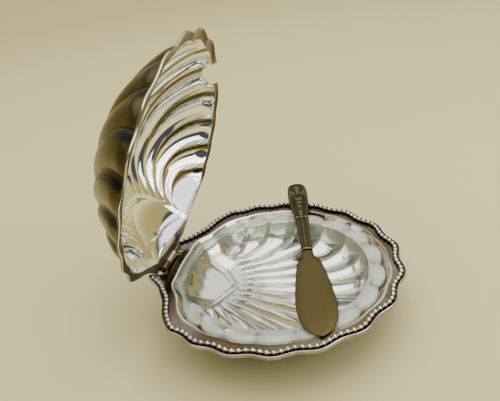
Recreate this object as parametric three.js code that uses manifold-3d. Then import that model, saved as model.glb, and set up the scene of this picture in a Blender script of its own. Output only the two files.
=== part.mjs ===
// A shell-shaped caviar dish in silver plate: a scalloped base dish with a beaded border and a pressed glass
// liner, a domed and fluted lid on a hinge with three knuckles, three ball feet, and a spreading knife laid across.
//
// Millimetres, +Z up. The parts are drawn about the centre of the fan of lobes, with X from the hinge towards the
// tip of the fan and z = 0 at the middle of the border's beads. The finished group is then moved so that its
// origin is below the middle of its bounding box, on the surface that the feet stand on.
import * as THREE from "three";
import { mergeVertices } from "three/addons/utils/BufferGeometryUtils.js";
import Module from "manifold-3d";

const wasm = await Module();
wasm.setup();

// Outlines, as [angle, radius] points: degrees from the tip of the fan and radii from the centre of the fan.
// Both halves are alike. The peaks of the lobes lie on one curve and the waist and the hinge side on another.
const LOBES_EACH_SIDE = 7;
const HINGE_REACH = 72.2; // hinge axis behind the centre of the fan
const EAR_REACH = 7.8; // the rim's ears beyond the hinge axis
const LID_EAR_REACH = 1.4; // the lid's corners beyond it
const WELL_BACK = HINGE_REACH - 9; // the well's edge beside the hinge, from the centre of the fan
const LID_BACK = HINGE_REACH - 11.7; // and the foot of the lid's dome there
const RIM_OUTLINE = {
  peaks: [[0, 76], [60, 76.3], [95, 77.2], [127.4, 78.95]],
  hingeSide: [[136.3, 75.8], [146.4, 71.6], [154.7, 72.4], [160, 74.4], [166.2, HINGE_REACH + EAR_REACH]],
  lastLobe: 127.4,
  pitch: 21.4, // from the tip lobe to the next one; the lobes crowd towards the hinge
  dipFront: 2.7, // depth of the valleys at the tip, and beside the last lobe
  dipBack: 1.6,
};
const LID_OUTLINE = {
  peaks: [[0, 78.6], [30, 79.3], [60, 80.3], [85, 80.7], [105, 79.2], [123.5, 76.8]],
  hingeSide: [[131, 73], [139, 69.4], [148, 68.2], [156, 70.5], [162, HINGE_REACH + LID_EAR_REACH]],
  lastLobe: 123.5,
  pitch: 21.8,
  dipFront: 2.7,
  dipBack: 1.6,
};
const LID_FOOT = [[0, 72], [45, 72.8], [75, 74.2], [100, 74], [123.5, 71.2], [134, 67], [146, 63],
  [160, LID_BACK + 1], [180, LID_BACK]];
const WELL_EDGE = [[0, 69.1], [80, 69.2], [131, 68.8], [139, 66.8], [148, 64.6], [158, WELL_BACK + 3],
  [168, WELL_BACK + 0.8], [180, WELL_BACK]];
const EAR_WIDTH_ANGLE = 2; // from the ear's tip to its inner corner

// Hinge
const HINGE_HALF_WIDTH = 14;
const KNUCKLE_RADIUS = 2.4;
const END_KNUCKLE_LENGTH = 8;
const KNUCKLE_GAP = 0.4; // between knuckles, along the pin
const PIN_RADIUS = 0.9;
const PIN_OVERHANG = 0.4;
const LEAF_THICKNESS = 1;
const LEAF_LENGTH = 4.4; // how far a leaf lies on its flange
const SEAT_CLEARANCE = 0.9; // between a knuckle and the flange edges in front of it
const LID_OPEN_ANGLE = 75;

// Base dish
const SHEET = 1.3; // rolled sheet of the base, measured upright
const WELL_SCALLOP = 0.9; // the well's edge follows the lobes by this much
const WELL_DEPTH = 20;
const WELL_FULLNESS = 6; // power of the well's profile: a flat floor and a steep wall
const WELL_FLUTE = 1.5;
const WELL_LIP_DROP = 0.5;
const WELL_LIP_ROUND = 1;
const LIP_INSIDE = 2.3; // inner face of the outer lip, outside the bead line
const LIP_WIDTH = 0.7;
const LIP_TOP = 0.2;

// Umbo: the smooth oval beside the hinge where the flutes start. It reaches front towards the tip, back towards
// the hinge and half its width to either side of its centre.
const WELL_UMBO = { centre: 12.8 - WELL_BACK, front: 21, back: 7, width: 28 };
const LID_UMBO = { centre: 4 - LID_BACK, front: 19, back: 2.4, width: 27 };
const UMBO_TURN = 0.45; // how fast the flutes' starts go round the umbo as their ends go round the rim
const UMBO_HINGE_SPAN = 0.62; // share of the umbo's width left beside the hinge
const FLUTE_BEND = 21.5; // length of the outer stretch in which a flute turns outwards
const FLUTE_SWEEP = 1.65; // heading of a flute at the rim, over its angle there
const FLUTE_STEEPEST = 96;

// Bead border
const BEAD_RADIUS = 1.6;
const BEAD_PITCH = 3.8;
const BEAD_WAIST = 0.95; // radius of the wire between two beads
const BEAD_FLAT = 0.6; // its flat underside below the bead's middle
const SOLDER_GAP = 0.3; // clearance between pieces that are soldered to each other

// Glass liner
const GLASS_THICKNESS = 3;
const LINER_INSET = 2.5; // from the well's edge to the tips of the liner's lobes
const LINER_SCALLOP = 2.8; // depth of the scallops in the liner's edge
const LINER_RIM = 9.5; // width of the flat rim, from the tips of its lobes to the round edge of the basin
const LINER_MOST_RIM = 0.35; // most of a flute's length that the rim takes beside the hinge
const LINER_RIM_BELOW = 0.9; // the rim's top below the flange
const LINER_WALL_ROW = [0.6, 0.42]; // one row up the basin's wall, as shares of the wall's width and height
const LINER_FLOOR_GAP = 0.7; // clearance under the liner
const LINER_WALL_GAP = 1; // and beside it, measured upright

// Lid
const LID_SHEET = 1.2;
const LID_HEIGHT = 38.5;
const LID_FULLNESS = 2.4; // power of the dome's profile
const LID_CLEARANCE = 0.6; // the closed lid above the beads
const LID_FLUTE = 2.4;
const LID_SCALLOP = 1.2; // the foot of the dome follows the lobes by this much
const LID_EAR_TRIM = 3.3; // the lid's edge in front of the hinge axis
const UMBO_BULGE = 1.6;
const LID_WALL_EXTRA = 0.3; // added to the sheet on the sloping wall, because it is measured upright

// Knife and its notch in the lid
const KNIFE_LENGTH = 165.6;
const HANDLE_LENGTH = 88;
const HANDLE_HALF_WIDTH = 7.4;
const HANDLE_HALF_THICKNESS = 2;
const BLADE_HALF_WIDTH = 11.8;
const BLADE_THICKNESS = 1.2;
const BLADE_EDGE_THICKNESS = 0.4;
const KNIFE_HEADING = 104.66; // from the tip to the handle's end
const KNIFE_TIP_ANGLE = -58.7;
const KNIFE_TIP_ON_FLANGE = 1.8; // the tip outside the well's edge
const KNIFE_REST_GAP = 0.3;
const NOTCH_ANGLE = 65;
const NOTCH_CLEARANCE = 1.4; // each side of the handle
const NOTCH_HEIGHT = 8;
const NOTCH_REACH = 14; // how far the notch is cut in from the lid's edge

// Feet
const FOOT_RADIUS = 4.4;
const FOOT_NECK_RADIUS = 2.8;
const FOOT_FLAT_RADIUS = 2;
const FOOT_HEIGHT = 7.4; // below the lowest part of the well
const FRONT_FOOT = [38, 0];
const REAR_FOOT = [-40, 24];

// Mesh density
const COLUMNS_PER_LOBE = 4;
const WELL_ROWS = [0, 0.25, 0.48, 0.66, 0.8, 0.9, 1];
const LINER_ROWS = [0, 0.27, 0.53, 0.73, 0.88]; // shares of the way to the basin's edge
const LID_ROWS = [0, 0.2, 0.4, 0.58, 0.74, 0.88, 1];
const UMBO_ROW = 0.55;

// Worked out from the sizes above
const FLANGE_Z = -BEAD_FLAT - SOLDER_GAP;
const HINGE_X = -HINGE_REACH;
const HINGE_Z = BEAD_RADIUS + LID_CLEARANCE;
const BORE_RADIUS = PIN_RADIUS + SOLDER_GAP;
const LID_X = HINGE_X + LID_EAR_TRIM;
const LINER_TOP = FLANGE_Z - LINER_RIM_BELOW;

const mix = (a, b, t) => a + (b - a) * t;
const rad = (degrees) => (degrees * Math.PI) / 180;
const polar = (angle, radius) => new THREE.Vector2(Math.cos(rad(angle)), Math.sin(rad(angle))).multiplyScalar(radius);

function smooth(t) {
  const c = Math.min(Math.max(t, 0), 1);
  return c * c * (3 - 2 * c);
}

// A smooth curve through [angle, value] points with rising angles.
function curveThrough(points, angle) {
  const last = points.length - 2;
  let i = points.findIndex((p, n) => n <= last && angle <= points[n + 1][0]);
  if (i < 0) i = last;
  const slope = (n) => {
    const a = points[Math.max(n - 1, 0)];
    const b = points[Math.min(n + 1, points.length - 1)];
    return (b[1] - a[1]) / (b[0] - a[0]);
  };
  const [[x0, y0], [x1, y1]] = [points[i], points[i + 1]];
  const h = x1 - x0;
  const t = (angle - x0) / h;
  return (
    y0 * (1 + 2 * t) * (1 - t) ** 2 +
    slope(i) * h * t * (1 - t) ** 2 +
    y1 * t * t * (3 - 2 * t) +
    slope(i + 1) * h * t * t * (t - 1)
  );
}

// 1 at the middle of a lobe and 0 in the valleys, which are sharp.
function scallop(phase) {
  const f = phase - Math.round(phase);
  return 1 - 4 * f * f;
}

// A shell-shaped outline. Its phase is a whole number at the middle of a lobe and a half in a valley.
class Outline {
  constructor({ peaks, hingeSide, lastLobe, pitch, dipFront, dipBack }) {
    Object.assign(this, { peaks, lastLobe, pitch, dipFront, dipBack });
    this.side = [peaks[peaks.length - 1], ...hingeSide];
    this.end = hingeSide[hingeSide.length - 1][0];
    this.crowding = LOBES_EACH_SIDE - lastLobe / pitch;
    this.fanEnd = this.angleOf(LOBES_EACH_SIDE + 0.5);
  }

  phase(angle) {
    const a = Math.abs(angle);
    return Math.sign(angle) * (a / this.pitch + this.crowding * (a / this.lastLobe) ** 3);
  }

  angleOf(phase) {
    let [low, high] = [-180, 180];
    for (let n = 0; n < 40; n++) {
      const middle = (low + high) / 2;
      if (this.phase(middle) < phase) low = middle;
      else high = middle;
    }
    return (low + high) / 2;
  }

  // 1 on the fan of lobes and 0 beside the hinge.
  onFan(angle) {
    return 1 - smooth((Math.abs(angle) - this.lastLobe) / (this.fanEnd - this.lastLobe));
  }

  radius(angle) {
    const a = Math.abs(angle);
    if (a > this.lastLobe) return curveThrough(this.side, Math.min(a, this.end));
    const dip = mix(this.dipFront, this.dipBack, a / this.lastLobe);
    return curveThrough(this.peaks, a) - (dip * (1 - Math.cos(2 * Math.PI * this.phase(a)))) / 2;
  }

  // A smooth edge inside the outline, scalloped in step with its lobes.
  scalloped(mean, depth) {
    return (angle) => mean(angle) - depth * this.onFan(angle) * (1 - scallop(this.phase(angle)));
  }
}

const RIM = new Outline(RIM_OUTLINE);
const LID_RIM = new Outline(LID_OUTLINE);

// Between the ears the base's flange ends in front of the knuckles.
const SEAT_X = HINGE_X + KNUCKLE_RADIUS + SEAT_CLEARANCE;
const SEAT_CORNER_ANGLE = RIM.end + EAR_WIDTH_ANGLE + 0.1;

// Radius of the base's outer edge.
function baseRadius(angle) {
  const a = Math.abs(angle);
  if (a >= SEAT_CORNER_ANGLE) return SEAT_X / Math.cos(rad(a));
  return RIM.radius(a) + LIP_INSIDE + LIP_WIDTH;
}

// Radius of the lid's edge, which is straight in front of the hinge.
function lidRadius(angle) {
  const a = Math.abs(angle);
  const free = LID_RIM.radius(a);
  return a <= 90 ? free : Math.min(free, LID_X / Math.cos(rad(a)));
}

// Edge of the well and foot of the lid's dome: a mean line and the scalloped edge on it
const wellMean = (angle) => curveThrough(WELL_EDGE, Math.abs(angle));
const wellRadius = RIM.scalloped(wellMean, WELL_SCALLOP);
const domeMean = (angle) => curveThrough(LID_FOOT, Math.abs(angle));
const domeRadius = LID_RIM.scalloped(domeMean, LID_SCALLOP);

// A fluted bowl or dome: flute lines run from its umbo to its edge, one edge point to each angle.
class FlutedShell {
  constructor({ outline, umbo, mean, edge, power }) {
    Object.assign(this, { outline, umbo, mean, edge, power });
  }

  // The umbo narrows beside the hinge, where the waist leaves it less room.
  umboSpan(angle) {
    return mix(1, UMBO_HINGE_SPAN, smooth((angle - this.outline.fanEnd) / (180 - this.outline.fanEnd)));
  }

  // Plan point on the flute line that ends at an angle: t is 0 at the umbo and 1 at the edge. The line leaves the
  // umbo straight and turns outwards over its last stretch. Ring goes from 0 to 1 across the umbo.
  plan(angle, t, ring = 1) {
    const a = Math.abs(angle);
    const { centre, front, back, width } = this.umbo;
    const turn = rad(a * (UMBO_TURN + (1 - UMBO_TURN) * (a / 180) ** 3));
    const reach = Math.cos(turn) * (turn < Math.PI / 2 ? front : back);
    const start = new THREE.Vector2(centre + reach, width * Math.sin(turn) * this.umboSpan(a));
    const end = polar(a, this.edge(a));
    const bend = polar(Math.min(FLUTE_SWEEP * a, FLUTE_STEEPEST), -FLUTE_BEND).add(end);
    const middle = start.clone().add(end).multiplyScalar(0.5).lerp(bend, this.outline.onFan(a));
    const p = start.multiplyScalar((1 - t) ** 2).addScaledVector(middle, 2 * t * (1 - t)).addScaledVector(end, t * t);
    return new THREE.Vector2(mix(centre, p.x, ring), Math.sign(angle) * p.y * ring);
  }

  // Place along a flute line where it comes within a distance of the mean edge.
  crossing(angle, inset) {
    const ring = 1 - inset / this.mean(angle);
    let [low, high] = [0, 1];
    for (let n = 0; n < 30; n++) {
      const t = (low + high) / 2;
      if (this.share(this.plan(angle, t)) < ring) low = t;
      else high = t;
    }
    return (low + high) / 2;
  }

  // How far out a plan point lies between the fan's centre and the mean edge.
  share(point) {
    return point.length() / this.mean((Math.atan2(point.y, point.x) * 180) / Math.PI);
  }

  // Height lost from the middle of the shell, as a share: it reaches 1 on the scalloped edge.
  drop(point, angle, t) {
    const atEdge = (this.edge(angle) / this.mean(angle)) ** this.power;
    return this.share(point) ** this.power + Math.max(t, 0) ** 3 * (1 - atEdge);
  }

  // Height of the flute's arch at a place along it, as a share: it dies out at both ends.
  arch(angle, t, inner, outer) {
    const across = this.outline.onFan(angle) * scallop(this.outline.phase(angle));
    return across * smooth(t / inner) * smooth((1 - t) / outer);
  }
}

const WELL = new FlutedShell({
  outline: RIM, umbo: WELL_UMBO, mean: wellMean, edge: wellRadius, power: WELL_FULLNESS,
});
const DOME = new FlutedShell({ outline: LID_RIM, umbo: LID_UMBO, mean: domeMean, edge: domeRadius, power: LID_FULLNESS });

// Upper face of the well.
function wellPoint(angle, t, ring = 1) {
  const p = WELL.plan(angle, t, ring);
  const top = FLANGE_Z - WELL_LIP_DROP;
  const z = top - WELL_DEPTH * (1 - WELL.drop(p, angle, t)) - WELL_FLUTE * WELL.arch(angle, t, 0.3, 0.3);
  return new THREE.Vector3(p.x, p.y, z);
}

// Inner face of the closed lid.
function domePoint(angle, t, ring = 1) {
  const p = DOME.plan(angle, t, ring);
  const bulge = UMBO_BULGE * (1 - ring * ring);
  const z = HINGE_Z + LID_HEIGHT * (1 - DOME.drop(p, angle, t)) + LID_FLUTE * DOME.arch(angle, t, 0.4, 0.2) + bulge;
  return new THREE.Vector3(p.x, p.y, z);
}

const atRadius = (angle, radius, z) =>
  new THREE.Vector3(radius * Math.cos(rad(angle)), radius * Math.sin(rad(angle)), z);

// Angles of the grid's columns, once round the dish.
function columnAngles(outline, hingeSide) {
  const fan = [];
  const steps = (LOBES_EACH_SIDE + 0.5) * COLUMNS_PER_LOBE;
  for (let n = -steps; n <= steps; n++) fan.push(outline.angleOf(n / COLUMNS_PER_LOBE));
  return [-180, ...hingeSide.map((a) => -a).reverse(), ...fan, ...hingeSide];
}

const EAR_ANGLES = [RIM.end - 2.5, RIM.end, RIM.end + EAR_WIDTH_ANGLE, SEAT_CORNER_ANGLE];
const BASE_COLUMNS = columnAngles(RIM, [140, 146.4, 151.5, 156, 160, ...EAR_ANGLES, 172, 176]);
const LINER_COLUMNS = columnAngles(RIM, [140, 147, 154, 161, 168, 174]);
const LID_COLUMNS = columnAngles(LID_RIM, [135, 139, 144, 149, 153, 157, 161, 166, 171, 175.5]);

// Triangles given as corners, made into a geometry with shared vertices.
function geometryOf(corners) {
  const g = new THREE.BufferGeometry();
  g.setAttribute("position", new THREE.Float32BufferAttribute(corners.flatMap((p) => [p.x, p.y, p.z]), 3));
  return mergeVertices(g, 1e-4);
}

// A four-sided face, split along its shorter diagonal.
function quad(a, b, c, d) {
  return a.distanceTo(c) <= b.distanceTo(d) ? [a, b, c, a, c, d] : [a, b, d, b, c, d];
}

// A closed shell from one row of points per column, each from the upper middle round the edge to the lower middle.
function closedShell(columns, rowOf) {
  const rows = columns.map(rowOf);
  const corners = [];
  rows.forEach((row, n) => {
    const next = rows[(n + 1) % rows.length];
    const end = row.length - 1;
    corners.push(row[0], row[1], next[1]);
    for (let i = 1; i < end - 1; i++) corners.push(...quad(row[i], row[i + 1], next[i + 1], next[i]));
    corners.push(row[end - 1], row[end], next[end - 1]);
  });
  return geometryOf(corners);
}

// A closed solid through rings of points that all have the same number of points.
function loft(rings) {
  const corners = [];
  for (let n = 0; n < rings.length - 1; n++) {
    const [a, b] = [rings[n], rings[n + 1]];
    a.forEach((p, i) => {
      const j = (i + 1) % a.length;
      corners.push(...quad(p, a[j], b[j], b[i]));
    });
  }
  const cap = (ring) => ring.slice(1, -1).flatMap((p, i) => [ring[0], p, ring[i + 2]]);
  const last = rings[rings.length - 1];
  corners.push(...cap([...rings[0]].reverse()), ...cap(last));
  return geometryOf(corners);
}

function solidOf(geometry) {
  const g = geometry.clone();
  for (const name of Object.keys(g.attributes)) if (name !== "position") g.deleteAttribute(name);
  const merged = mergeVertices(g, 1e-4);
  const triVerts = new Uint32Array(merged.index.array);
  return new wasm.Manifold(
    new wasm.Mesh({ numProp: 3, vertProperties: merged.attributes.position.array, triVerts }),
  );
}

function geometryFrom(solid) {
  const mesh = solid.getMesh();
  const g = new THREE.BufferGeometry();
  g.setAttribute("position", new THREE.Float32BufferAttribute(mesh.vertProperties, 3));
  g.setIndex(new THREE.BufferAttribute(mesh.triVerts, 1));
  return g;
}

const joined = (a, b) => geometryFrom(solidOf(a).add(solidOf(b)));
const cut = (a, b) => geometryFrom(solidOf(a).subtract(solidOf(b)));

// Base dish
function baseDish() {
  return closedShell(BASE_COLUMNS, (angle) => {
    const edge = baseRadius(angle);
    const lipInner = edge - LIP_WIDTH;
    const wellEdge = wellRadius(angle) + WELL_LIP_ROUND;
    const lipTop = Math.abs(angle) >= SEAT_CORNER_ANGLE ? FLANGE_Z + 0.01 : LIP_TOP;
    const upper = WELL_ROWS.map((t) => wellPoint(angle, t));
    const middle = wellPoint(angle, 0, 0);
    const ring = wellPoint(angle, 0, UMBO_ROW);
    const down = (p) => new THREE.Vector3(p.x, p.y, p.z - SHEET);
    return [
      middle, ring, ...upper,
      atRadius(angle, wellEdge, FLANGE_Z),
      atRadius(angle, lipInner, FLANGE_Z),
      atRadius(angle, lipInner + 0.05, lipTop),
      atRadius(angle, edge, lipTop),
      atRadius(angle, edge, FLANGE_Z - SHEET),
      atRadius(angle, wellEdge, FLANGE_Z - SHEET),
      ...upper.map(down).reverse(), down(ring), down(middle),
    ];
  });
}

// Bead border: a wire of beads along the bead line, from one ear round the fan to the other, with a flat underside.
function beadPath() {
  const steps = 1200;
  const points = [];
  for (let n = 0; n <= steps; n++) {
    const a = mix(-RIM.end, RIM.end, n / steps);
    points.push(atRadius(a, RIM.radius(a), 0));
  }
  const curve = new THREE.CatmullRomCurve3(points);
  curve.arcLengthDivisions = points.length * 2;
  return curve;
}

function beadBorder() {
  const path = beadPath();
  const beads = Math.round(path.getLength() / BEAD_PITCH);
  const rings = [];
  for (let n = 0; n <= 2 * beads; n++) {
    const u = n / (2 * beads);
    const centre = path.getPointAt(u);
    const side = path.getTangentAt(u).cross(new THREE.Vector3(0, 0, 1)).setZ(0).normalize();
    const radius = n % 2 ? BEAD_RADIUS : BEAD_WAIST;
    const at = (across, up) => centre.clone().addScaledVector(side, across).setZ(up);
    const half = radius * 0.86;
    const low = radius * 0.8;
    rings.push([
      at(radius, 0), at(radius / 2, half), at(-radius / 2, half), at(-radius, 0),
      at(-low, -BEAD_FLAT), at(low, -BEAD_FLAT),
    ].reverse());
  }
  return loft(rings);
}

// Glass liner: where its edge, the outer side of its basin's wall and the basin's edge lie along a flute line.
function linerReach(angle) {
  const notch = LINER_SCALLOP * RIM.onFan(angle) * (1 - scallop(RIM.phase(angle)));
  const edge = WELL.crossing(angle, LINER_INSET + notch);
  const inner = Math.max(WELL.crossing(angle, LINER_INSET + LINER_RIM), edge - LINER_MOST_RIM);
  const outer = WELL.crossing(angle, LINER_INSET + LINER_RIM - GLASS_THICKNESS);
  return { edge, outer: Math.max(Math.min(outer, mix(inner, edge, 0.4)), mix(inner, edge, 0.2)), inner };
}

function glassLiner() {
  const gap = (share) => mix(LINER_FLOOR_GAP, LINER_WALL_GAP, share ** WELL_FULLNESS);
  const under = (p) => p.clone().setZ(p.z + gap(Math.min(WELL.share(new THREE.Vector2(p.x, p.y)), 1)));
  const over = (p) => {
    const q = under(p);
    return q.setZ(Math.min(q.z + GLASS_THICKNESS, LINER_TOP));
  };
  const underRim = (p) => {
    const q = under(p);
    return q.setZ(Math.max(q.z, LINER_TOP - GLASS_THICKNESS));
  };
  return closedShell(LINER_COLUMNS, (angle) => {
    const { edge, outer, inner } = linerReach(angle);
    const rows = LINER_ROWS.map((share) => wellPoint(angle, share * inner));
    const [across, up] = LINER_WALL_ROW;
    const foot = over(rows.at(-1));
    const wall = wellPoint(angle, mix(LINER_ROWS.at(-1), 1, across) * inner);
    const rimInner = wellPoint(angle, inner);
    const rim = wellPoint(angle, edge);
    const middle = wellPoint(angle, 0, 0);
    const ring = wellPoint(angle, 0, UMBO_ROW);
    return [
      over(middle), over(ring), ...rows.map(over),
      wall.clone().setZ(mix(foot.z, LINER_TOP, up)),
      rimInner.clone().setZ(LINER_TOP),
      rim.clone().setZ(LINER_TOP),
      underRim(rim), underRim(wellPoint(angle, mix(outer, edge, 0.6))), underRim(wellPoint(angle, outer)),
      under(rimInner),
      ...rows.map(under).reverse(), under(ring), under(middle),
    ];
  });
}

// Knife: its stations are shares of the handle's or the blade's length and of the largest half width there
const HANDLE_OUTLINE = [[0, 0.3], [0.025, 0.72], [0.07, 0.92], [0.16, 1], [0.24, 0.98], [0.34, 0.93], [0.44, 0.8],
  [0.52, 0.7], [0.6, 0.63], [0.74, 0.58], [0.9, 0.54], [1, 0.51]];
const BLADE_OUTLINE = [[0, 0.3], [0.07, 0.34], [0.105, 0.44], [0.14, 0.57], [0.22, 0.71], [0.31, 0.8], [0.43, 0.89],
  [0.56, 0.965], [0.66, 1], [0.76, 0.965], [0.83, 0.89], [0.885, 0.77], [0.93, 0.6], [0.97, 0.33], [1, 0.04]];

const knifeTip = polar(KNIFE_TIP_ANGLE, wellMean(KNIFE_TIP_ANGLE) + KNIFE_TIP_ON_FLANGE);

// The knife lies with its tip on the front flange and its handle on the beads at the back.
function knifeFrame() {
  const along = polar(KNIFE_HEADING, 1);
  let reach = KNIFE_LENGTH / 2;
  for (let n = 0; n < 60; n++) {
    const p = knifeTip.clone().addScaledVector(along, reach);
    reach += (RIM.radius((Math.atan2(p.y, p.x) * 180) / Math.PI) - p.length()) / 2;
  }
  const tipZ = FLANGE_Z + KNIFE_REST_GAP + BLADE_THICKNESS / 2;
  const rimZ = BEAD_RADIUS + KNIFE_REST_GAP + HANDLE_HALF_THICKNESS;
  return { along, tipZ, slope: (rimZ - tipZ) / reach };
}

// A point of the knife from its distance in front of the handle's end, its offset to the side and its height.
function knifePoint(frame, distance, side, up) {
  const back = KNIFE_LENGTH - distance;
  const p = knifeTip.clone().addScaledVector(frame.along, back);
  const across = new THREE.Vector2(frame.along.y, -frame.along.x);
  p.addScaledVector(across, side);
  return new THREE.Vector3(p.x, p.y, frame.tipZ + frame.slope * back + up);
}

function knifeHandle() {
  const frame = knifeFrame();
  const sides = 10;
  const rings = HANDLE_OUTLINE.map(([share, width]) => {
    const half = HANDLE_HALF_WIDTH * width;
    const thick = HANDLE_HALF_THICKNESS * Math.min(1, 0.55 + width / 2);
    return Array.from({ length: sides }, (_, i) => {
      const turn = (2 * Math.PI * (i + 0.5)) / sides;
      return knifePoint(frame, share * HANDLE_LENGTH, half * Math.cos(turn), thick * Math.sin(turn));
    });
  });
  return loft(rings);
}

function knifeBlade() {
  const frame = knifeFrame();
  const start = HANDLE_LENGTH + SOLDER_GAP;
  const rings = BLADE_OUTLINE.map(([share, width]) => {
    const distance = mix(start, KNIFE_LENGTH, share);
    const half = BLADE_HALF_WIDTH * width;
    const [edge, core] = [BLADE_EDGE_THICKNESS / 2, BLADE_THICKNESS / 2];
    return [[half, -edge], [half, edge], [half * 0.6, core], [-half * 0.6, core], [-half, edge], [-half, -edge],
      [-half * 0.6, -core], [half * 0.6, -core]].map(([x, z]) => knifePoint(frame, distance, x, z));
  });
  return loft(rings);
}

// Cutter for the notch, which lets the handle out when the knife is swung about its tip to the notch's angle.
function notchCutter() {
  const mouth = polar(NOTCH_ANGLE, lidRadius(NOTCH_ANGLE));
  const along = mouth.clone().sub(knifeTip).normalize();
  const section = new THREE.Shape();
  section.absellipse(0, 0, HANDLE_HALF_WIDTH * 0.93 + NOTCH_CLEARANCE, NOTCH_HEIGHT, 0, 2 * Math.PI, false);
  const depth = 2 * NOTCH_REACH;
  const g = new THREE.ExtrudeGeometry(section, { depth, bevelEnabled: false, curveSegments: 12 });
  g.translate(0, 0, -NOTCH_REACH);
  g.rotateX(Math.PI / 2);
  g.rotateZ(Math.atan2(along.y, along.x) - Math.PI / 2);
  return g.translate(mouth.x, mouth.y, HINGE_Z);
}

// Lid, drawn closed
function lidShell() {
  const whole = closedShell(LID_COLUMNS, (angle) => {
    const edge = lidRadius(angle);
    const inner = LID_ROWS.map((t) => domePoint(angle, t));
    const middle = domePoint(angle, 0, 0);
    const ring = domePoint(angle, 0, UMBO_ROW);
    const up = (p, i) => p.clone().setZ(p.z + LID_SHEET + (i < LID_ROWS.length - 1 ? LID_WALL_EXTRA : 0));
    return [
      up(middle, 0), up(ring, 0), ...inner.map(up),
      atRadius(angle, edge, HINGE_Z + LID_SHEET),
      atRadius(angle, edge, HINGE_Z),
      ...[...inner].reverse(), ring, middle,
    ];
  });
  return cut(whole, notchCutter());
}

// Hinge, in a frame on the hinge axis: profiles lie in X and Z and are extruded along Y
function alongHinge(profile, from, to) {
  const g = new THREE.ExtrudeGeometry(profile, { depth: to - from, bevelEnabled: false, curveSegments: 6 });
  return g.rotateX(Math.PI / 2).translate(0, to, 0);
}

function rectangle(left, bottom, right, top) {
  return new THREE.Shape([
    new THREE.Vector2(left, bottom), new THREE.Vector2(right, bottom),
    new THREE.Vector2(right, top), new THREE.Vector2(left, top),
  ]);
}

function knuckle(from, to) {
  const tube = new THREE.Shape();
  tube.absarc(0, 0, KNUCKLE_RADIUS, 0, 2 * Math.PI, false);
  const bore = new THREE.Path();
  bore.absarc(0, 0, BORE_RADIUS, 0, 2 * Math.PI, true);
  tube.holes.push(bore);
  return alongHinge(tube, from, to);
}

const END_KNUCKLE_INSIDE = HINGE_HALF_WIDTH - END_KNUCKLE_LENGTH;
const BASE_KNUCKLE_HALF = END_KNUCKLE_INSIDE - KNUCKLE_GAP;
const SEAT_RADIUS = KNUCKLE_RADIUS + SOLDER_GAP;

// The base's leaf lies under the flange, and its middle rises as a block with a hollow seat for the knuckle.
function baseLeaf() {
  const top = FLANGE_Z - SHEET - SOLDER_GAP - HINGE_Z;
  const end = SEAT_X - HINGE_X + LEAF_LENGTH;
  const plate = alongHinge(rectangle(-KNUCKLE_RADIUS, top - LEAF_THICKNESS, end, top), -HINGE_HALF_WIDTH, HINGE_HALF_WIDTH);
  const block = new THREE.Shape();
  const spread = 0.9;
  block.moveTo(-SEAT_RADIUS * Math.sin(spread), top - LEAF_THICKNESS / 2);
  block.lineTo(SEAT_RADIUS * Math.sin(spread), top - LEAF_THICKNESS / 2);
  block.absarc(0, 0, SEAT_RADIUS, -Math.PI / 2 + spread, -Math.PI / 2 - spread, true);
  return joined(plate, alongHinge(block, -BASE_KNUCKLE_HALF, BASE_KNUCKLE_HALF));
}

// The lid's leaf lies on the outside of the lid's flange, with two curled straps over the lid's knuckles.
function lidLeaf() {
  const bottom = LID_SHEET + SOLDER_GAP;
  const end = LID_EAR_TRIM + LEAF_LENGTH - SEAT_CLEARANCE;
  const start = LID_EAR_TRIM - SOLDER_GAP;
  const outer = SEAT_RADIUS + LEAF_THICKNESS;
  let leaf = alongHinge(rectangle(start, bottom, end, bottom + LEAF_THICKNESS), -HINGE_HALF_WIDTH, HINGE_HALF_WIDTH);
  const strap = new THREE.Shape();
  const [low, high] = [Math.asin(bottom / SEAT_RADIUS), rad(125)];
  strap.absarc(0, 0, SEAT_RADIUS, low, high, false);
  strap.absarc(0, 0, outer, high, Math.asin((bottom + LEAF_THICKNESS) / outer), true);
  strap.lineTo(start + LEAF_THICKNESS, bottom + LEAF_THICKNESS);
  strap.lineTo(start + LEAF_THICKNESS, bottom);
  for (const side of [-1, 1]) {
    const [from, to] = [side * END_KNUCKLE_INSIDE, side * HINGE_HALF_WIDTH].sort((a, b) => a - b);
    leaf = joined(leaf, alongHinge(strap, from, to));
  }
  return leaf;
}

function hingePin() {
  const length = 2 * (HINGE_HALF_WIDTH + PIN_OVERHANG);
  return new THREE.CylinderGeometry(PIN_RADIUS, PIN_RADIUS, length, 12);
}

// Lowest height of the well's underside within a radius round a plan point.
function wellUnderside(x, y, radius) {
  let low = 0;
  for (let angle = -180; angle < 180; angle += 1) {
    for (let t = -1; t <= 1; t += 0.02) {
      const p = t < 0 ? wellPoint(angle, 0, 1 + t) : wellPoint(angle, t);
      if (Math.hypot(p.x - x, p.y - y) <= radius) low = Math.min(low, p.z);
    }
  }
  return low - SHEET;
}

// Feet: balls with a flat underside and a round neck up to the well
const GROUND_Z = FLANGE_Z - WELL_LIP_DROP - WELL_DEPTH - WELL_FLUTE - SHEET - FOOT_HEIGHT;

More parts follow.
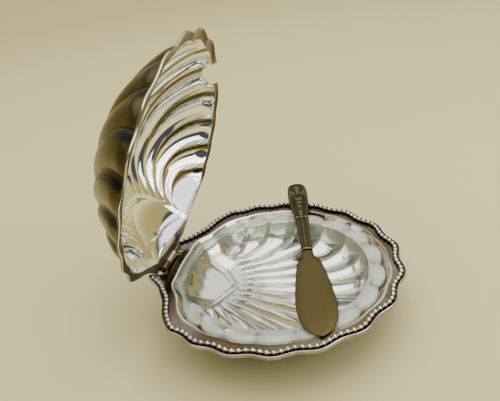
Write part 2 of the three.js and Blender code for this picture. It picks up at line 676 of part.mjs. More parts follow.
function ballFoot([x, y]) {
  const top = wellUnderside(x, y, FOOT_NECK_RADIUS + SOLDER_GAP) - SOLDER_GAP - GROUND_Z;
  const low = -Math.sqrt(FOOT_RADIUS ** 2 - FOOT_FLAT_RADIUS ** 2);
  const high = Math.sqrt(FOOT_RADIUS ** 2 - FOOT_NECK_RADIUS ** 2);
  const [from, to] = [Math.atan2(low, FOOT_FLAT_RADIUS), Math.atan2(high, FOOT_NECK_RADIUS)];
  const profile = [new THREE.Vector2(0, 0)];
  const steps = 7;
  for (let i = 0; i <= steps; i++) {
    const turn = mix(from, to, i / steps);
    profile.push(new THREE.Vector2(FOOT_RADIUS * Math.cos(turn), FOOT_RADIUS * Math.sin(turn) - low));
  }
  profile.push(new THREE.Vector2(FOOT_NECK_RADIUS, top), new THREE.Vector2(0, top));
  return new THREE.LatheGeometry(profile, 16).rotateX(Math.PI / 2).translate(x, y, GROUND_Z);
}

// Materials
const SILVER_PLATE = { color: 0xc9c2b4, roughness: 0.2, metalness: 1 };
const TARNISHED_PLATE = { color: 0x9a8c78, roughness: 0.35, metalness: 1 };
const WORN_BRASS = { color: 0xa9884e, roughness: 0.4, metalness: 1 };
const GLASS = { color: 0xd3ddcf, roughness: 0.05, metalness: 0 };
const STEEL = { color: 0x8f8a7c, roughness: 0.35, metalness: 1 };

function part(name, geometry, finish) {
  const mesh = new THREE.Mesh(geometry, new THREE.MeshStandardMaterial(finish));
  mesh.name = name;
  return mesh;
}

function hingeGroup(...meshes) {
  const group = new THREE.Group();
  group.position.set(HINGE_X, 0, HINGE_Z);
  group.add(...meshes);
  return group;
}

function buildDish() {
  const dish = new THREE.Group();
  dish.add(
    part("base_dish", baseDish(), SILVER_PLATE),
    part("bead_border", beadBorder(), TARNISHED_PLATE),
    part("glass_liner", glassLiner(), GLASS),
    part("knife_handle", knifeHandle(), SILVER_PLATE),
    part("knife_blade", knifeBlade(), STEEL),
    part("foot_front", ballFoot(FRONT_FOOT), SILVER_PLATE),
    part("foot_rear_near", ballFoot([REAR_FOOT[0], -REAR_FOOT[1]]), SILVER_PLATE),
    part("foot_rear_far", ballFoot(REAR_FOOT), SILVER_PLATE),
    hingeGroup(
      part("base_hinge_leaf", baseLeaf(), TARNISHED_PLATE),
      part("base_knuckle", knuckle(-BASE_KNUCKLE_HALF, BASE_KNUCKLE_HALF), TARNISHED_PLATE),
      part("hinge_pin", hingePin(), STEEL),
    ),
  );

  const lid = hingeGroup(
    part("lid_shell", lidShell().translate(-HINGE_X, 0, -HINGE_Z), SILVER_PLATE),
    part("lid_hinge_leaf", lidLeaf(), TARNISHED_PLATE),
    part("lid_knuckle_near", knuckle(-HINGE_HALF_WIDTH, -END_KNUCKLE_INSIDE), WORN_BRASS),
    part("lid_knuckle_far", knuckle(END_KNUCKLE_INSIDE, HINGE_HALF_WIDTH), WORN_BRASS),
  );
  lid.rotation.y = -rad(LID_OPEN_ANGLE);
  dish.add(lid);

  const box = new THREE.Box3().setFromObject(dish, true);
  const centre = box.getCenter(new THREE.Vector3());
  dish.position.set(-centre.x, -centre.y, -box.min.z);
  return dish;
}

export default buildDish();
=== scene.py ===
"""Looks of a shell-shaped caviar dish in silver plate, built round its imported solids.

Sizes are millimetres in the drawing frame: the origin is the centre of the fan of lobes, X runs from the
hinge to the tip of the fan, and z = 0 is the middle of the border's beads. The placing turns them into the
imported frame.
"""

import logging
import math
from dataclasses import dataclass, field
from enum import Enum
from typing import Optional

import bpy
import numpy as np
from mathutils import Matrix, Vector


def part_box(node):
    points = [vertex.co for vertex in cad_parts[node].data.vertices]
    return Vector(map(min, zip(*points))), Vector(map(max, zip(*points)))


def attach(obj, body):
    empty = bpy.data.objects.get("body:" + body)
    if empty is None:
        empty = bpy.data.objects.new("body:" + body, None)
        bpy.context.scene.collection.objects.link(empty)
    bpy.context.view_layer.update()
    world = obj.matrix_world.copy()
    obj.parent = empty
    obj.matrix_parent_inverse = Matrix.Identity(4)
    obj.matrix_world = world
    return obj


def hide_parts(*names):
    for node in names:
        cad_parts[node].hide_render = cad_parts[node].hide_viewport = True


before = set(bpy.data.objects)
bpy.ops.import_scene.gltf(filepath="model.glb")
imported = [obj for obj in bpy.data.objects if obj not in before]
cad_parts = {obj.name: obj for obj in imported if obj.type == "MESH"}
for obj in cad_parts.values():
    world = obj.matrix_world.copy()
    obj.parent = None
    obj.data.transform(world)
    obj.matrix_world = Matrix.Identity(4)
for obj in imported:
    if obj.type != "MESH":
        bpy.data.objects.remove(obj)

LOG = logging.getLogger("caviar_dish")
Array = np.ndarray
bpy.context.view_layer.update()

# Hinge axis, and how far the lid stands open
HINGE_REACH = 72.2
HINGE_HEIGHT = 2.2
HINGE_SPOT = np.array([-HINGE_REACH, 0.0, HINGE_HEIGHT])
LID_OPEN_ANGLE = 75.0
LOBES_EACH_SIDE = 7

# Top of the flange, line along which both rims end before the hinge, and size of the beads
FLANGE_Z = -0.9
SEAT_X = -68.9
BEAD_RADIUS = 1.6

# Steps of a search by halving
HALVINGS = 30


def smooth(value: Array) -> Array:
    """Returns the smooth step 3t^2 - 2t^3 of each value, held between 0 and 1."""
    t = np.clip(value, 0.0, 1.0)
    return t * t * (3.0 - 2.0 * t)


def mix(low: Array, high: Array, share: Array) -> Array:
    """Returns the values a share of the way from low to high."""
    return low + (high - low) * share


def curve_through(points: tuple[tuple[float, float], ...], at: Array) -> Array:
    """Smooth curve through points: cubics whose slopes are those between each point's two neighbours.

    Args:
        points: (place, value) pairs with rising places.
        at: Places to read.

    Returns:
        The curve's value at each place.
    """
    x, y = np.array(points, float).T
    i = np.clip(np.searchsorted(x, at, side="left") - 1, 0, len(x) - 2)
    before = np.clip(np.arange(len(x)) - 1, 0, None)
    after = np.clip(np.arange(len(x)) + 1, None, len(x) - 1)
    slope = (y[after] - y[before]) / (x[after] - x[before])
    h = x[i + 1] - x[i]
    t = (at - x[i]) / h
    rising = y[i] * (1 + 2 * t) * (1 - t) ** 2 + slope[i] * h * t * (1 - t) ** 2
    return rising + y[i + 1] * t * t * (3 - 2 * t) + slope[i + 1] * h * t * t * (t - 1)


@dataclass(frozen=True)
class Placing:
    """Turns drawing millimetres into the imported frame's metres, from where the pack has the hinge pin."""

    hinge: Vector = field(default_factory=lambda: (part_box("hinge_pin")[0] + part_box("hinge_pin")[1]) / 2)

    def offset(self) -> Array:
        """Returns the drawing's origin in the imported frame, in metres."""
        return np.array(self.hinge) - HINGE_SPOT / 1000

    def fixed(self, points: Array) -> Array:
        """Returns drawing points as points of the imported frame."""
        return points / 1000 + self.offset()

    def on_lid(self, points: Array) -> Array:
        """Points drawn on the closed lid, turned open about the hinge.

        The turn is x' = x cos a + z sin a, z' = z cos a - x sin a.

        Args:
            points: Points of the closed lid, in drawing millimetres.

        Returns:
            The points on the open lid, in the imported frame.
        """
        turn = math.radians(-LID_OPEN_ANGLE)
        p = points - HINGE_SPOT
        x = p[..., 0] * math.cos(turn) + p[..., 2] * math.sin(turn)
        z = p[..., 2] * math.cos(turn) - p[..., 0] * math.sin(turn)
        return np.stack([x, p[..., 1], z], axis=-1) / 1000 + np.array(self.hinge)


def crease_soft(fraction: Array, width: float) -> Array:
    """Scallop profile 1 - 4f^2 of a lobe, with its sharp valley rounded over a small width.

    Args:
        fraction: Place across the lobe, from -0.5 to 0.5.
        width: Half width of the rounding, as a share of the lobe.

    Returns:
        1 at the middle of the lobe and nearly 0 in the valley.
    """
    left = 0.5 - np.abs(fraction)
    rounded = np.sqrt(left * left + width * width) - width * width / (left + width)
    return 1.0 - 4.0 * (0.5 - rounded) ** 2


@dataclass(frozen=True)
class Outline:
    """Shell-shaped outline whose lobes crowd towards the hinge, as in the solids."""

    peaks: tuple[tuple[float, float], ...]
    hinge_side: tuple[tuple[float, float], ...]
    last_lobe: float
    pitch: float
    dip_front: float = 2.7
    dip_back: float = 1.6

    def phase(self, angle: Array) -> Array:
        """Returns the lobe count from the tip: a/pitch plus a cubic that crowds the last lobes."""
        a = np.abs(angle)
        crowding = LOBES_EACH_SIDE - self.last_lobe / self.pitch
        return np.sign(angle) * (a / self.pitch + crowding * (a / self.last_lobe) ** 3)

    def angle_of(self, phase: Array) -> Array:
        """Returns the angle at which the phase is reached, read back from a fine table of it."""
        table = np.linspace(-180, 180, 14401)
        return np.interp(phase, self.phase(table), table)

    def fraction(self, angle: Array) -> Array:
        """Returns the place across the nearest lobe, from -0.5 to 0.5."""
        p = self.phase(angle)
        return p - np.round(p)

    def fan_end(self) -> float:
        """Returns the angle of the valley after the last lobe."""
        return float(self.angle_of(np.array(LOBES_EACH_SIDE + 0.5)))

    def on_fan(self, angle: Array) -> Array:
        """Returns 1 on the fan of lobes and 0 beside the hinge."""
        return 1 - smooth((np.abs(angle) - self.last_lobe) / (self.fan_end() - self.last_lobe))

    def radius(self, angle: Array) -> Array:
        """Returns the radius: the peaks' curve less a cosine dip on the fan, then a curve beside the hinge."""
        a = np.abs(angle)
        side = (self.peaks[-1],) + self.hinge_side
        dip = mix(self.dip_front, self.dip_back, a / self.last_lobe)
        fan = curve_through(self.peaks, a) - dip * (1 - np.cos(2 * np.pi * self.phase(a))) / 2
        beside = curve_through(side, np.minimum(a, side[-1][0]))
        return np.where(a > self.last_lobe, beside, fan)

    def end(self) -> float:
        """Returns the angle at which the outline ends beside the hinge."""
        return self.hinge_side[-1][0]

    def columns(self, per_lobe: int, beside: int) -> Array:
        """Angles of a grid's columns, evenly spread over each lobe and over the hinge side.

        Args:
            per_lobe: Columns on each lobe.
            beside: Columns from the last lobe to the middle of the hinge side.

        Returns:
            Angles from -180 up to just under 180 degrees.
        """
        half = LOBES_EACH_SIDE + 0.5
        fan = self.angle_of(np.linspace(-half, half, int(2 * half * per_lobe) + 1))
        side = np.linspace(fan[-1], 180, beside + 2)[1:-1]
        return np.concatenate([[-180.0], -side[::-1], fan, side])


RIM = Outline(
    peaks=((0, 76), (60, 76.3), (95, 77.2), (127.4, 78.95)),
    hinge_side=((136.3, 75.8), (146.4, 71.6), (154.7, 72.4), (160, 74.4), (166.2, 80)),
    last_lobe=127.4,
    pitch=21.4,
)
LID_RIM = Outline(
    peaks=((0, 78.6), (30, 79.3), (60, 80.3), (85, 80.7), (105, 79.2), (123.5, 76.8)),
    hinge_side=((131, 73), (139, 69.4), (148, 68.2), (156, 70.5), (162, 73.6)),
    last_lobe=123.5,
    pitch=21.8,
)
LID_FOOT = (
    (0, 72), (45, 72.8), (75, 74.2), (100, 74), (123.5, 71.2),
    (134, 67), (146, 63), (160, 61.5), (180, 60.5),
)
WELL_EDGE = (
    (0, 69.1), (80, 69.2), (131, 68.8), (139, 66.8), (148, 64.6), (158, 66.2), (168, 64), (180, 63.2),
)


def cross_angle(x: float, angle: Array) -> Array:
    """Returns the radius at which a ray at each angle meets the line across the dish at x."""
    return x / np.cos(np.radians(angle))


@dataclass(frozen=True)
class FlutedShell:
    """Bowl or dome whose flute lines run from a smooth umbo to a scalloped edge."""

    outline: Outline
    mean_edge: tuple[tuple[float, float], ...]
    scallop_depth: float
    centre: float
    front: float
    back: float
    width: float
    power: float
    hinge_span: float = 0.62
    turn_rate: float = 0.45
    bend: float = 21.5
    sweep: float = 1.65
    steepest: float = 96.0
    crease: float = 0.03

    def mean(self, angle: Array) -> Array:
        """Returns the radius of the edge without its scallops."""
        return curve_through(self.mean_edge, np.abs(angle))

    def scallop(self, angle: Array) -> Array:
        """Returns 1 at the middle of each lobe and about 0 in the valleys."""
        return crease_soft(self.outline.fraction(angle), self.crease)

    def edge(self, angle: Array) -> Array:
        """Returns the radius of the scalloped edge."""
        return self.mean(angle) - self.scallop_depth * self.outline.on_fan(angle) * (1 - self.scallop(angle))

    def plan(self, angle: Array, t: Array, ring: Array) -> Array:
        """Plan points on flute lines, which leave the umbo straight and turn outwards at the rim.

        Each line is a quadratic curve p(t) = (1-t)^2 start + 2t(1-t) middle + t^2 end. Its start lies on
        the umbo's oval and its end on the scalloped edge. Its middle is drawn back from the end along the
        heading at the rim.

        Args:
            angle: Angle of each line's end, in degrees.
            t: Place along the line, 0 at the umbo and 1 at the edge.
            ring: Place across the umbo, 0 at its centre and 1 at its edge.

        Returns:
            An array of x and y in drawing millimetres.
        """
        a = np.abs(angle)
        fan_end = self.outline.fan_end()
        span = mix(1.0, self.hinge_span, smooth((a - fan_end) / (180 - fan_end)))
        turn = np.radians(a * (self.turn_rate + (1 - self.turn_rate) * (a / 180) ** 3))
        reach = np.cos(turn) * np.where(turn < np.pi / 2, self.front, self.back)
        start = np.stack([self.centre + reach, self.width * np.sin(turn) * span], axis=-1)
        out = np.stack([np.cos(np.radians(a)), np.sin(np.radians(a))], axis=-1)
        end = out * self.edge(a)[..., None]
        heading = np.radians(np.minimum(self.sweep * a, self.steepest))
        drawn_back = end - self.bend * np.stack([np.cos(heading), np.sin(heading)], axis=-1)
        middle = mix((start + end) / 2, drawn_back, self.outline.on_fan(a)[..., None])
        s = np.broadcast_to(t, a.shape)[..., None]
        p = (1 - s) ** 2 * start + 2 * s * (1 - s) * middle + s * s * end
        x = mix(self.centre, p[..., 0], ring)
        return np.stack([x, np.sign(angle) * p[..., 1] * ring], axis=-1)

    def share(self, plan: Array) -> Array:
        """Returns how far out each plan point lies between the fan's centre and the mean edge."""
        angle = np.degrees(np.arctan2(plan[..., 1], plan[..., 0]))
        return np.hypot(plan[..., 0], plan[..., 1]) / self.mean(angle)

    def crossing(self, angle: Array, inset: Array) -> Array:
        """Returns the place along each flute line at an inset from the mean edge, found by halving."""
        ring = 1 - inset / self.mean(angle)
        low, high = np.zeros_like(angle), np.ones_like(angle)
        for _ in range(HALVINGS):
            t = (low + high) / 2
            inside = self.share(self.plan(angle, t, np.ones_like(angle))) < ring
            low, high = np.where(inside, t, low), np.where(inside, high, t)
        return (low + high) / 2

    def drop(self, plan: Array, angle: Array, t: Array) -> Array:
        """Returns the height lost from the middle: share^power, brought to 1 at the edge by a cubic."""
        at_edge = (self.edge(angle) / self.mean(angle)) ** self.power
        return self.share(plan) ** self.power + np.clip(t, 0, None) ** 3 * (1 - at_edge)

    def arch(self, angle: Array, t: Array, inner: float, outer: float) -> Array:
        """Returns the flutes' arches as a share of their height, dying out over both end stretches."""
        return self.outline.on_fan(angle) * self.scallop(angle) * smooth(t / inner) * smooth((1 - t) / outer)


WELL = FlutedShell(RIM, WELL_EDGE, 0.9, centre=-50.4, front=21, back=7, width=28, power=6)
DOME = FlutedShell(LID_RIM, LID_FOOT, 1.2, centre=-56.5, front=19, back=2.4, width=27, power=2.4)


def with_height(plan: Array, z: Array) -> Array:
    """Returns plan points with a height added as their third coordinate."""
    return np.concatenate([plan, np.broadcast_to(z, plan.shape[:-1])[..., None]], axis=-1)


def at_radius(angle: Array, radius: Array, z: Array) -> Array:
    """Returns points at an angle, radius and height in the drawing frame."""
    a = np.radians(angle)
    return np.stack(np.broadcast_arrays(radius * np.cos(a), radius * np.sin(a), z), axis=-1)


def in_scene(name: str, data: bpy.types.ID) -> bpy.types.Object:
    """Returns a new object of a mesh, light or camera, put into the scene."""
    thing = bpy.data.objects.new(name, data)
    bpy.context.scene.collection.objects.link(thing)
    return thing


def hand_over(thing: bpy.types.Object, body: str, node: str) -> None:
    """Puts a piece on a body in a solid's place, and reports it."""
    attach(thing, body)
    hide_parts(node)
    LOG.info("%s: %d faces", thing.name, len(thing.data.polygons))


@dataclass
class Piece:
    """A mesh under way: points, faces as rows of corner numbers, and the marks that its material reads."""

    points: Array
    faces: list[Array]
    marks: dict[str, Array] = field(default_factory=dict)
    slot_of_face: Optional[Array] = None

    def make(self, name: str, materials: list[bpy.types.Material], sharp: float = 40.0) -> bpy.types.Object:
        """Makes the object, smooth apart from edges sharper than an angle.

        Args:
            name: Name of the object.
            materials: Its materials in slot order.
            sharp: Angle in degrees above which an edge stays sharp.

        Returns:
            The new object at the origin.
        """
        mesh = bpy.data.meshes.new(name)
        mesh.from_pydata(self.points.tolist(), [], [f for rows in self.faces for f in rows.tolist()])
        mesh.polygons.foreach_set("use_smooth", np.ones(len(mesh.polygons), bool))
        if self.slot_of_face is not None:
            mesh.polygons.foreach_set("material_index", self.slot_of_face.astype(np.int32))
        for mark, values in self.marks.items():
            mesh.attributes.new(mark, "FLOAT", "POINT").data.foreach_set("value", values.astype(np.float32))
        mesh.set_sharp_from_angle(angle=math.radians(sharp))
        mesh.validate()
        for material in materials:
            mesh.materials.append(material)
        return in_scene(name, mesh)


@dataclass
class Rows:
    """Rows of a shell from its upper middle round its edge to its lower middle, each with a mark."""

    angle: Array
    points: list[Array] = field(default_factory=list)
    marks: list[Array] = field(default_factory=list)

    def add(self, points: Array, mark: Array) -> None:
        """Adds a row of points and its mark, which may be one number for the whole row."""
        self.points.append(points)
        self.marks.append(np.broadcast_to(mark, self.angle.shape))

    def grid(self) -> tuple[Array, Array]:
        """Returns the points and the marks by column and row."""
        return np.stack(self.points, axis=1), np.stack(self.marks, axis=1)


def grid_quads(columns: int, rows: int, first: int = 0, across: bool = True, along: bool = False) -> Array:
    """Faces of a grid of points that are numbered along each column in turn.

    Args:
        columns: Count of columns.
        rows: Count of points in each column.
        first: Number of the grid's first point.
        across: Whether the last column joins the first one.
        along: Whether each column closes in a ring.

    Returns:
        The corner numbers of each face.
    """
    i = np.arange(columns if across else columns - 1)[:, None]
    j = np.arange(rows if along else rows - 1)[None]
    n, k = (i + 1) % columns, (j + 1) % rows
    corners = [i * rows + j, i * rows + k, n * rows + k, n * rows + j]
    return first + np.stack(corners, axis=-1).reshape(-1, 4)


def shell_piece(rows: Array, marks: dict[str, Array], slot_of_row: Optional[Array] = None) -> Piece:
    """Closed shell from a grid whose first and last rows each close in one point.

    Args:
        rows: Points by column and row, from the upper middle round the edge to the lower middle.
        marks: Values by column and row for the material.
        slot_of_row: Material slot of the band after each row.

    Returns:
        The shell, with faces that point outwards.
    """
    columns, count = rows.shape[:2]
    inner = rows[:, 1:-1]
    points = np.concatenate([rows[:1, 0], rows[:1, -1], inner.reshape(-1, 3)])
    wide = count - 2
    quads = grid_quads(columns, wide, first=2)
    c = np.arange(columns)
    number = 2 + c * wide
    following = np.roll(number, -1)
    first = np.stack([np.zeros_like(c), number, following], axis=-1)
    last = np.stack([np.ones_like(c), following + wide - 1, number + wide - 1], axis=-1)
    flat = {k: np.concatenate([v[:1, 0], v[:1, -1], v[:, 1:-1].reshape(-1)]) for k, v in marks.items()}
    slots = None
    if slot_of_row is not None:
        bands = np.broadcast_to(slot_of_row[1:-2], (columns, wide - 1)).reshape(-1)
        slots = np.concatenate([bands, np.full(columns, slot_of_row[0]), np.full(columns, slot_of_row[-2])])
    return Piece(points, [quads, first, last], flat, slots)


def tube_piece(rings: Array, marks: dict[str, Array]) -> Piece:
    """Closed solid through rings of points, with a middle point in each end.

    Args:
        rings: Points by ring and place round the ring.
        marks: Values by ring and place for the material.

    Returns:
        The solid, with faces that point outwards.
    """
    count, around = rings.shape[:2]
    points = np.concatenate([rings.reshape(-1, 3), rings[0].mean(0)[None], rings[-1].mean(0)[None]])
    quads = grid_quads(count, around, across=False, along=True)
    i = np.arange(around)
    j = np.roll(i, -1)
    start = np.stack([np.full(around, count * around), j, i], axis=-1)
    shift = (count - 1) * around
    finish = np.stack([np.full(around, count * around + 1), shift + i, shift + j], axis=-1)
    flat = {k: np.concatenate([v.reshape(-1), [v[0].mean()], [v[-1].mean()]]) for k, v in marks.items()}
    return Piece(points, [quads, start, finish], flat)


def linear(hex_colour: str) -> tuple[float, float, float, float]:
    """Returns an sRGB hex colour as the linear RGBA that a shader takes."""
    parts = [int(hex_colour[i : i + 2], 16) / 255 for i in (1, 3, 5)]
    r, g, b = [c / 12.92 if c <= 0.04045 else ((c + 0.055) / 1.055) ** 2.4 for c in parts]
    return (r, g, b, 1.0)


def add_node(
    tree: bpy.types.NodeTree,
    kind: str,
    settings: Optional[dict[str, object]] = None,
    values: Optional[dict[str, object]] = None,
    links: Optional[dict[str, bpy.types.NodeSocket]] = None,
) -> bpy.types.Node:
    """Adds a node to a material with its settings, socket values and incoming links.

    Args:
        tree: Node tree of the material.
        kind: Node type.
        settings: Properties of the node itself.
        values: Constants of its input sockets, by name or number.
        links: Sockets that feed its inputs, by name or number.

    Returns:
        The new node.
    """
    node = tree.nodes.new(kind)
    for name, value in (settings or {}).items():
        setattr(node, name, value)
    for name, value in (values or {}).items():
        node.inputs[name].default_value = value
    for name, socket in (links or {}).items():
        tree.links.new(socket, node.inputs[name])
    return node


def empty_material(name: str) -> bpy.types.Material:
    """Returns a new material without nodes."""
    material = bpy.data.materials.new(name)
    material.use_nodes = True
    material.node_tree.nodes.clear()
    return material


@dataclass(frozen=True)
class PlatedMetal:
    """Silver plate on a brass or nickel silver sheet, pressed, then dulled where it isn't rubbed, with painted
    shade and painted highlights laid in the same colours.

    Bright plate mirrors its surroundings. Tarnish turns it brown and slightly rough. The darker colours go
    where the per-point mark is high, broken up in soft patches; that mark holds real tarnish, painted shade
    where it is high and painted highlights where it is low.
    """

    name: str
    bright: str
    tarnish_and_shade: str
    deep: str
    bright_roughness: float
    tarnish_roughness: float
    patch_mm: float = 14.0
    scratch_mm: float = 0.6
    patch_strength: float = 0.22
    relief: float = 0.015
    far_tarnish_and_reflection: Optional[str] = None
    bright_until: float = 0.08
    tarnish_at: float = 0.6

    def build(self) -> bpy.types.Material:
        """Returns the material: three colours and two roughnesses, mixed by the mark and a patchy noise.

        Where a far colour is given, the middle colour turns to it from 20 mm behind the part's origin to 50 mm
        in front of it; on the flange this shift to olive is a painted reflection of yellowish surroundings.
        """
        material = empty_material(self.name)
        tree = material.node_tree
        place = add_node(tree, "ShaderNodeTexCoord")
        mark = add_node(tree, "ShaderNodeAttribute", {"attribute_name": "tarnish_and_shade"})
        patches = add_node(
            tree, "ShaderNodeTexNoise",
            values={"Scale": 1000 / self.patch_mm, "Detail": 4.0, "Roughness": 0.6},
            links={"Vector": place.outputs["Object"]},
        )
        centred = add_node(
            tree, "ShaderNodeMath", {"operation": "MULTIPLY_ADD"},
            values={1: 2 * self.patch_strength, 2: -self.patch_strength}, links={0: patches.outputs["Fac"]},
        )
        amount = add_node(
            tree, "ShaderNodeMath", {"operation": "ADD", "use_clamp": True},
            links={0: mark.outputs["Fac"], 1: centred.outputs[0]},
        )
        shades = []
        for tarnish_and_shade in filter(None, (self.tarnish_and_shade, self.far_tarnish_and_reflection)):
            ramp = add_node(tree, "ShaderNodeValToRGB", links={"Fac": amount.outputs[0]})
            stops = ramp.color_ramp.elements
            stops[0].position, stops[0].color = self.bright_until, linear(self.bright)
            stops[1].color = linear(self.deep)
            stops.new(self.tarnish_at).color = linear(tarnish_and_shade)
            shades.append(ramp.outputs["Color"])
        colour = shades[0]
        if self.far_tarnish_and_reflection:
            axes = add_node(tree, "ShaderNodeSeparateXYZ", links={"Vector": place.outputs["Object"]})
            far = add_node(
                tree, "ShaderNodeMapRange", {"interpolation_type": "SMOOTHSTEP"},
                values={"From Min": -0.02, "From Max": 0.05}, links={"Value": axes.outputs["X"]},
            )
            both = add_node(
                tree, "ShaderNodeMix", {"data_type": "RGBA"},
                links={0: far.outputs["Result"], 6: shades[0], 7: shades[1]},
            )
            colour = both.outputs[2]
        roughness = add_node(
            tree, "ShaderNodeMapRange",
            values={"To Min": self.bright_roughness, "To Max": self.tarnish_roughness},
            links={"Value": amount.outputs[0]},
        )
        grain = add_node(
            tree, "ShaderNodeTexNoise",
            values={"Scale": 1000 / self.scratch_mm, "Detail": 3.0},
            links={"Vector": place.outputs["Object"]},
        )
        bump = add_node(
            tree, "ShaderNodeBump",
            values={"Strength": self.relief, "Distance": 0.0002}, links={"Height": grain.outputs["Fac"]},
        )
        shader = add_node(
            tree, "ShaderNodeBsdfPrincipled",
            values={"Metallic": 1.0},
            links={
                "Base Color": colour,
                "Roughness": roughness.outputs["Result"],
                "Normal": bump.outputs["Normal"],
            },
        )
        add_node(tree, "ShaderNodeOutputMaterial", links={"Surface": shader.outputs["BSDF"]})
        return material


@dataclass(frozen=True)
class PressedGlass:
    """Soda-lime glass pressed in a mould: clear, slightly green, and faintly wavy from the chill."""

    name: str = "pressed_soda_lime_glass"
    tint: str = "#F7FBF6"
    milk: str = "#DDE3CB"
    ior: float = 1.5
    roughness: float = 0.03
    wave_mm: float = 7.0

    def build(self) -> bpy.types.Material:
        """Returns the material: clear glass, mixed with a pale haze where the mark called milk is high."""
        material = empty_material(self.name)
        tree = material.node_tree
        place = add_node(tree, "ShaderNodeTexCoord")
        wave = add_node(
            tree, "ShaderNodeTexNoise",
            values={"Scale": 1000 / self.wave_mm, "Detail": 2.0}, links={"Vector": place.outputs["Object"]},
        )
        bump = add_node(
            tree, "ShaderNodeBump",
            values={"Strength": 0.12, "Distance": 0.0006}, links={"Height": wave.outputs["Fac"]},
        )
        clear = add_node(
            tree, "ShaderNodeBsdfPrincipled",
            values={
                "Base Color": linear(self.tint), "Roughness": self.roughness, "IOR": self.ior,
                "Transmission Weight": 1.0,
            },
            links={"Normal": bump.outputs["Normal"]},
        )
        haze = add_node(
            tree, "ShaderNodeBsdfPrincipled",
            values={"Base Color": linear(self.milk), "Roughness": 0.18, "IOR": self.ior},
        )
        mark = add_node(tree, "ShaderNodeAttribute", {"attribute_name": "milk"})
        both = add_node(
            tree, "ShaderNodeMixShader",
            links={0: mark.outputs["Fac"], 1: clear.outputs["BSDF"], 2: haze.outputs["BSDF"]},
        )
        add_node(tree, "ShaderNodeOutputMaterial", links={"Surface": both.outputs["Shader"]})
        return material


class Finish(Enum):
    """Finishes of the dish, by the piece that shows them."""

    # Rubbed bright: a clear, nearly white mirror that turns olive where its mark is high; inside the lid this
    # olive is painted reflection and shade on one flank of each flute
    MIRROR = PlatedMetal(
        "polished_silver_plate", "#F6F4EF", "#6E6031", "#2C2614", 0.04, 0.24, patch_strength=0.08
    )
    # Seldom rubbed: mauve-brown tarnish beside the hinge, kept dark as a painted reflection of dark
    # surroundings, turning olive towards the tip as a painted reflection of yellowish surroundings
    FLANGE = PlatedMetal(
        "tarnished_and_shaded_silver_plate", "#E0D8C8", "#75685D", "#393029", 0.1, 0.3, patch_mm=30,
        far_tarnish_and_reflection="#5C5031",
    )
    # Cast beads: tops bright as a painted highlight over grey-brown sides, darkened in the necks by tarnish
    # and painted shade
    BORDER = PlatedMetal("cast_silver_plated_beads", "#E6DFD4", "#6A5F57", "#2B2420", 0.14, 0.3, patch_mm=20)
    # Rolled and handled: grey silver broken by small dull patches, with painted shade beside the beads and
    # underneath and a painted glint along the top
    LIP = PlatedMetal(
        "tarnished_and_shaded_rolled_lip", "#D6D2CB", "#7C746B", "#1D1A18", 0.14, 0.3, patch_mm=12, patch_strength=0.4
    )
    # Left unpolished: a dark olive satin; the nearly black blue beside the creases between the lobes is
    # painted shade
    BACK = PlatedMetal("satin_tarnished_and_shaded_plate", "#675B33", "#453C1F", "#12151B", 0.2, 0.34, patch_mm=30)
    # Dulled rim of the lid: smoky olive with a soft gloss
    LID_RIM = PlatedMetal("tarnished_lid_rim", "#A3956A", "#4B3D17", "#1E1810", 0.12, 0.28, patch_mm=16)
    # Plate worn off by use: brown brass with dark seams
    WORN = PlatedMetal("plate_worn_to_brass", "#7C6A49", "#40341F", "#17120D", 0.22, 0.4, patch_mm=5)
    # Ground flat and never mirror-bright: an even, warm satin with a fine grain, its dark olive partly a
    # painted reflection of yellowish and dark surroundings
    BLADE = PlatedMetal(
        "satin_nickel_silver", "#5A4E2B", "#423920", "#1E180F", 0.28, 0.38, patch_mm=26, relief=0.05
    )
    # Stamped and plated: high parts glint, and the ground between them stays dark
    HANDLE = PlatedMetal("stamped_silver_plate", "#786C44", "#4B4126", "#20190E", 0.2, 0.34, patch_mm=18)

    def material(self) -> bpy.types.Material:
        """Returns this finish's material, built once."""
        return bpy.data.materials.get(self.value.name) or self.value.build()


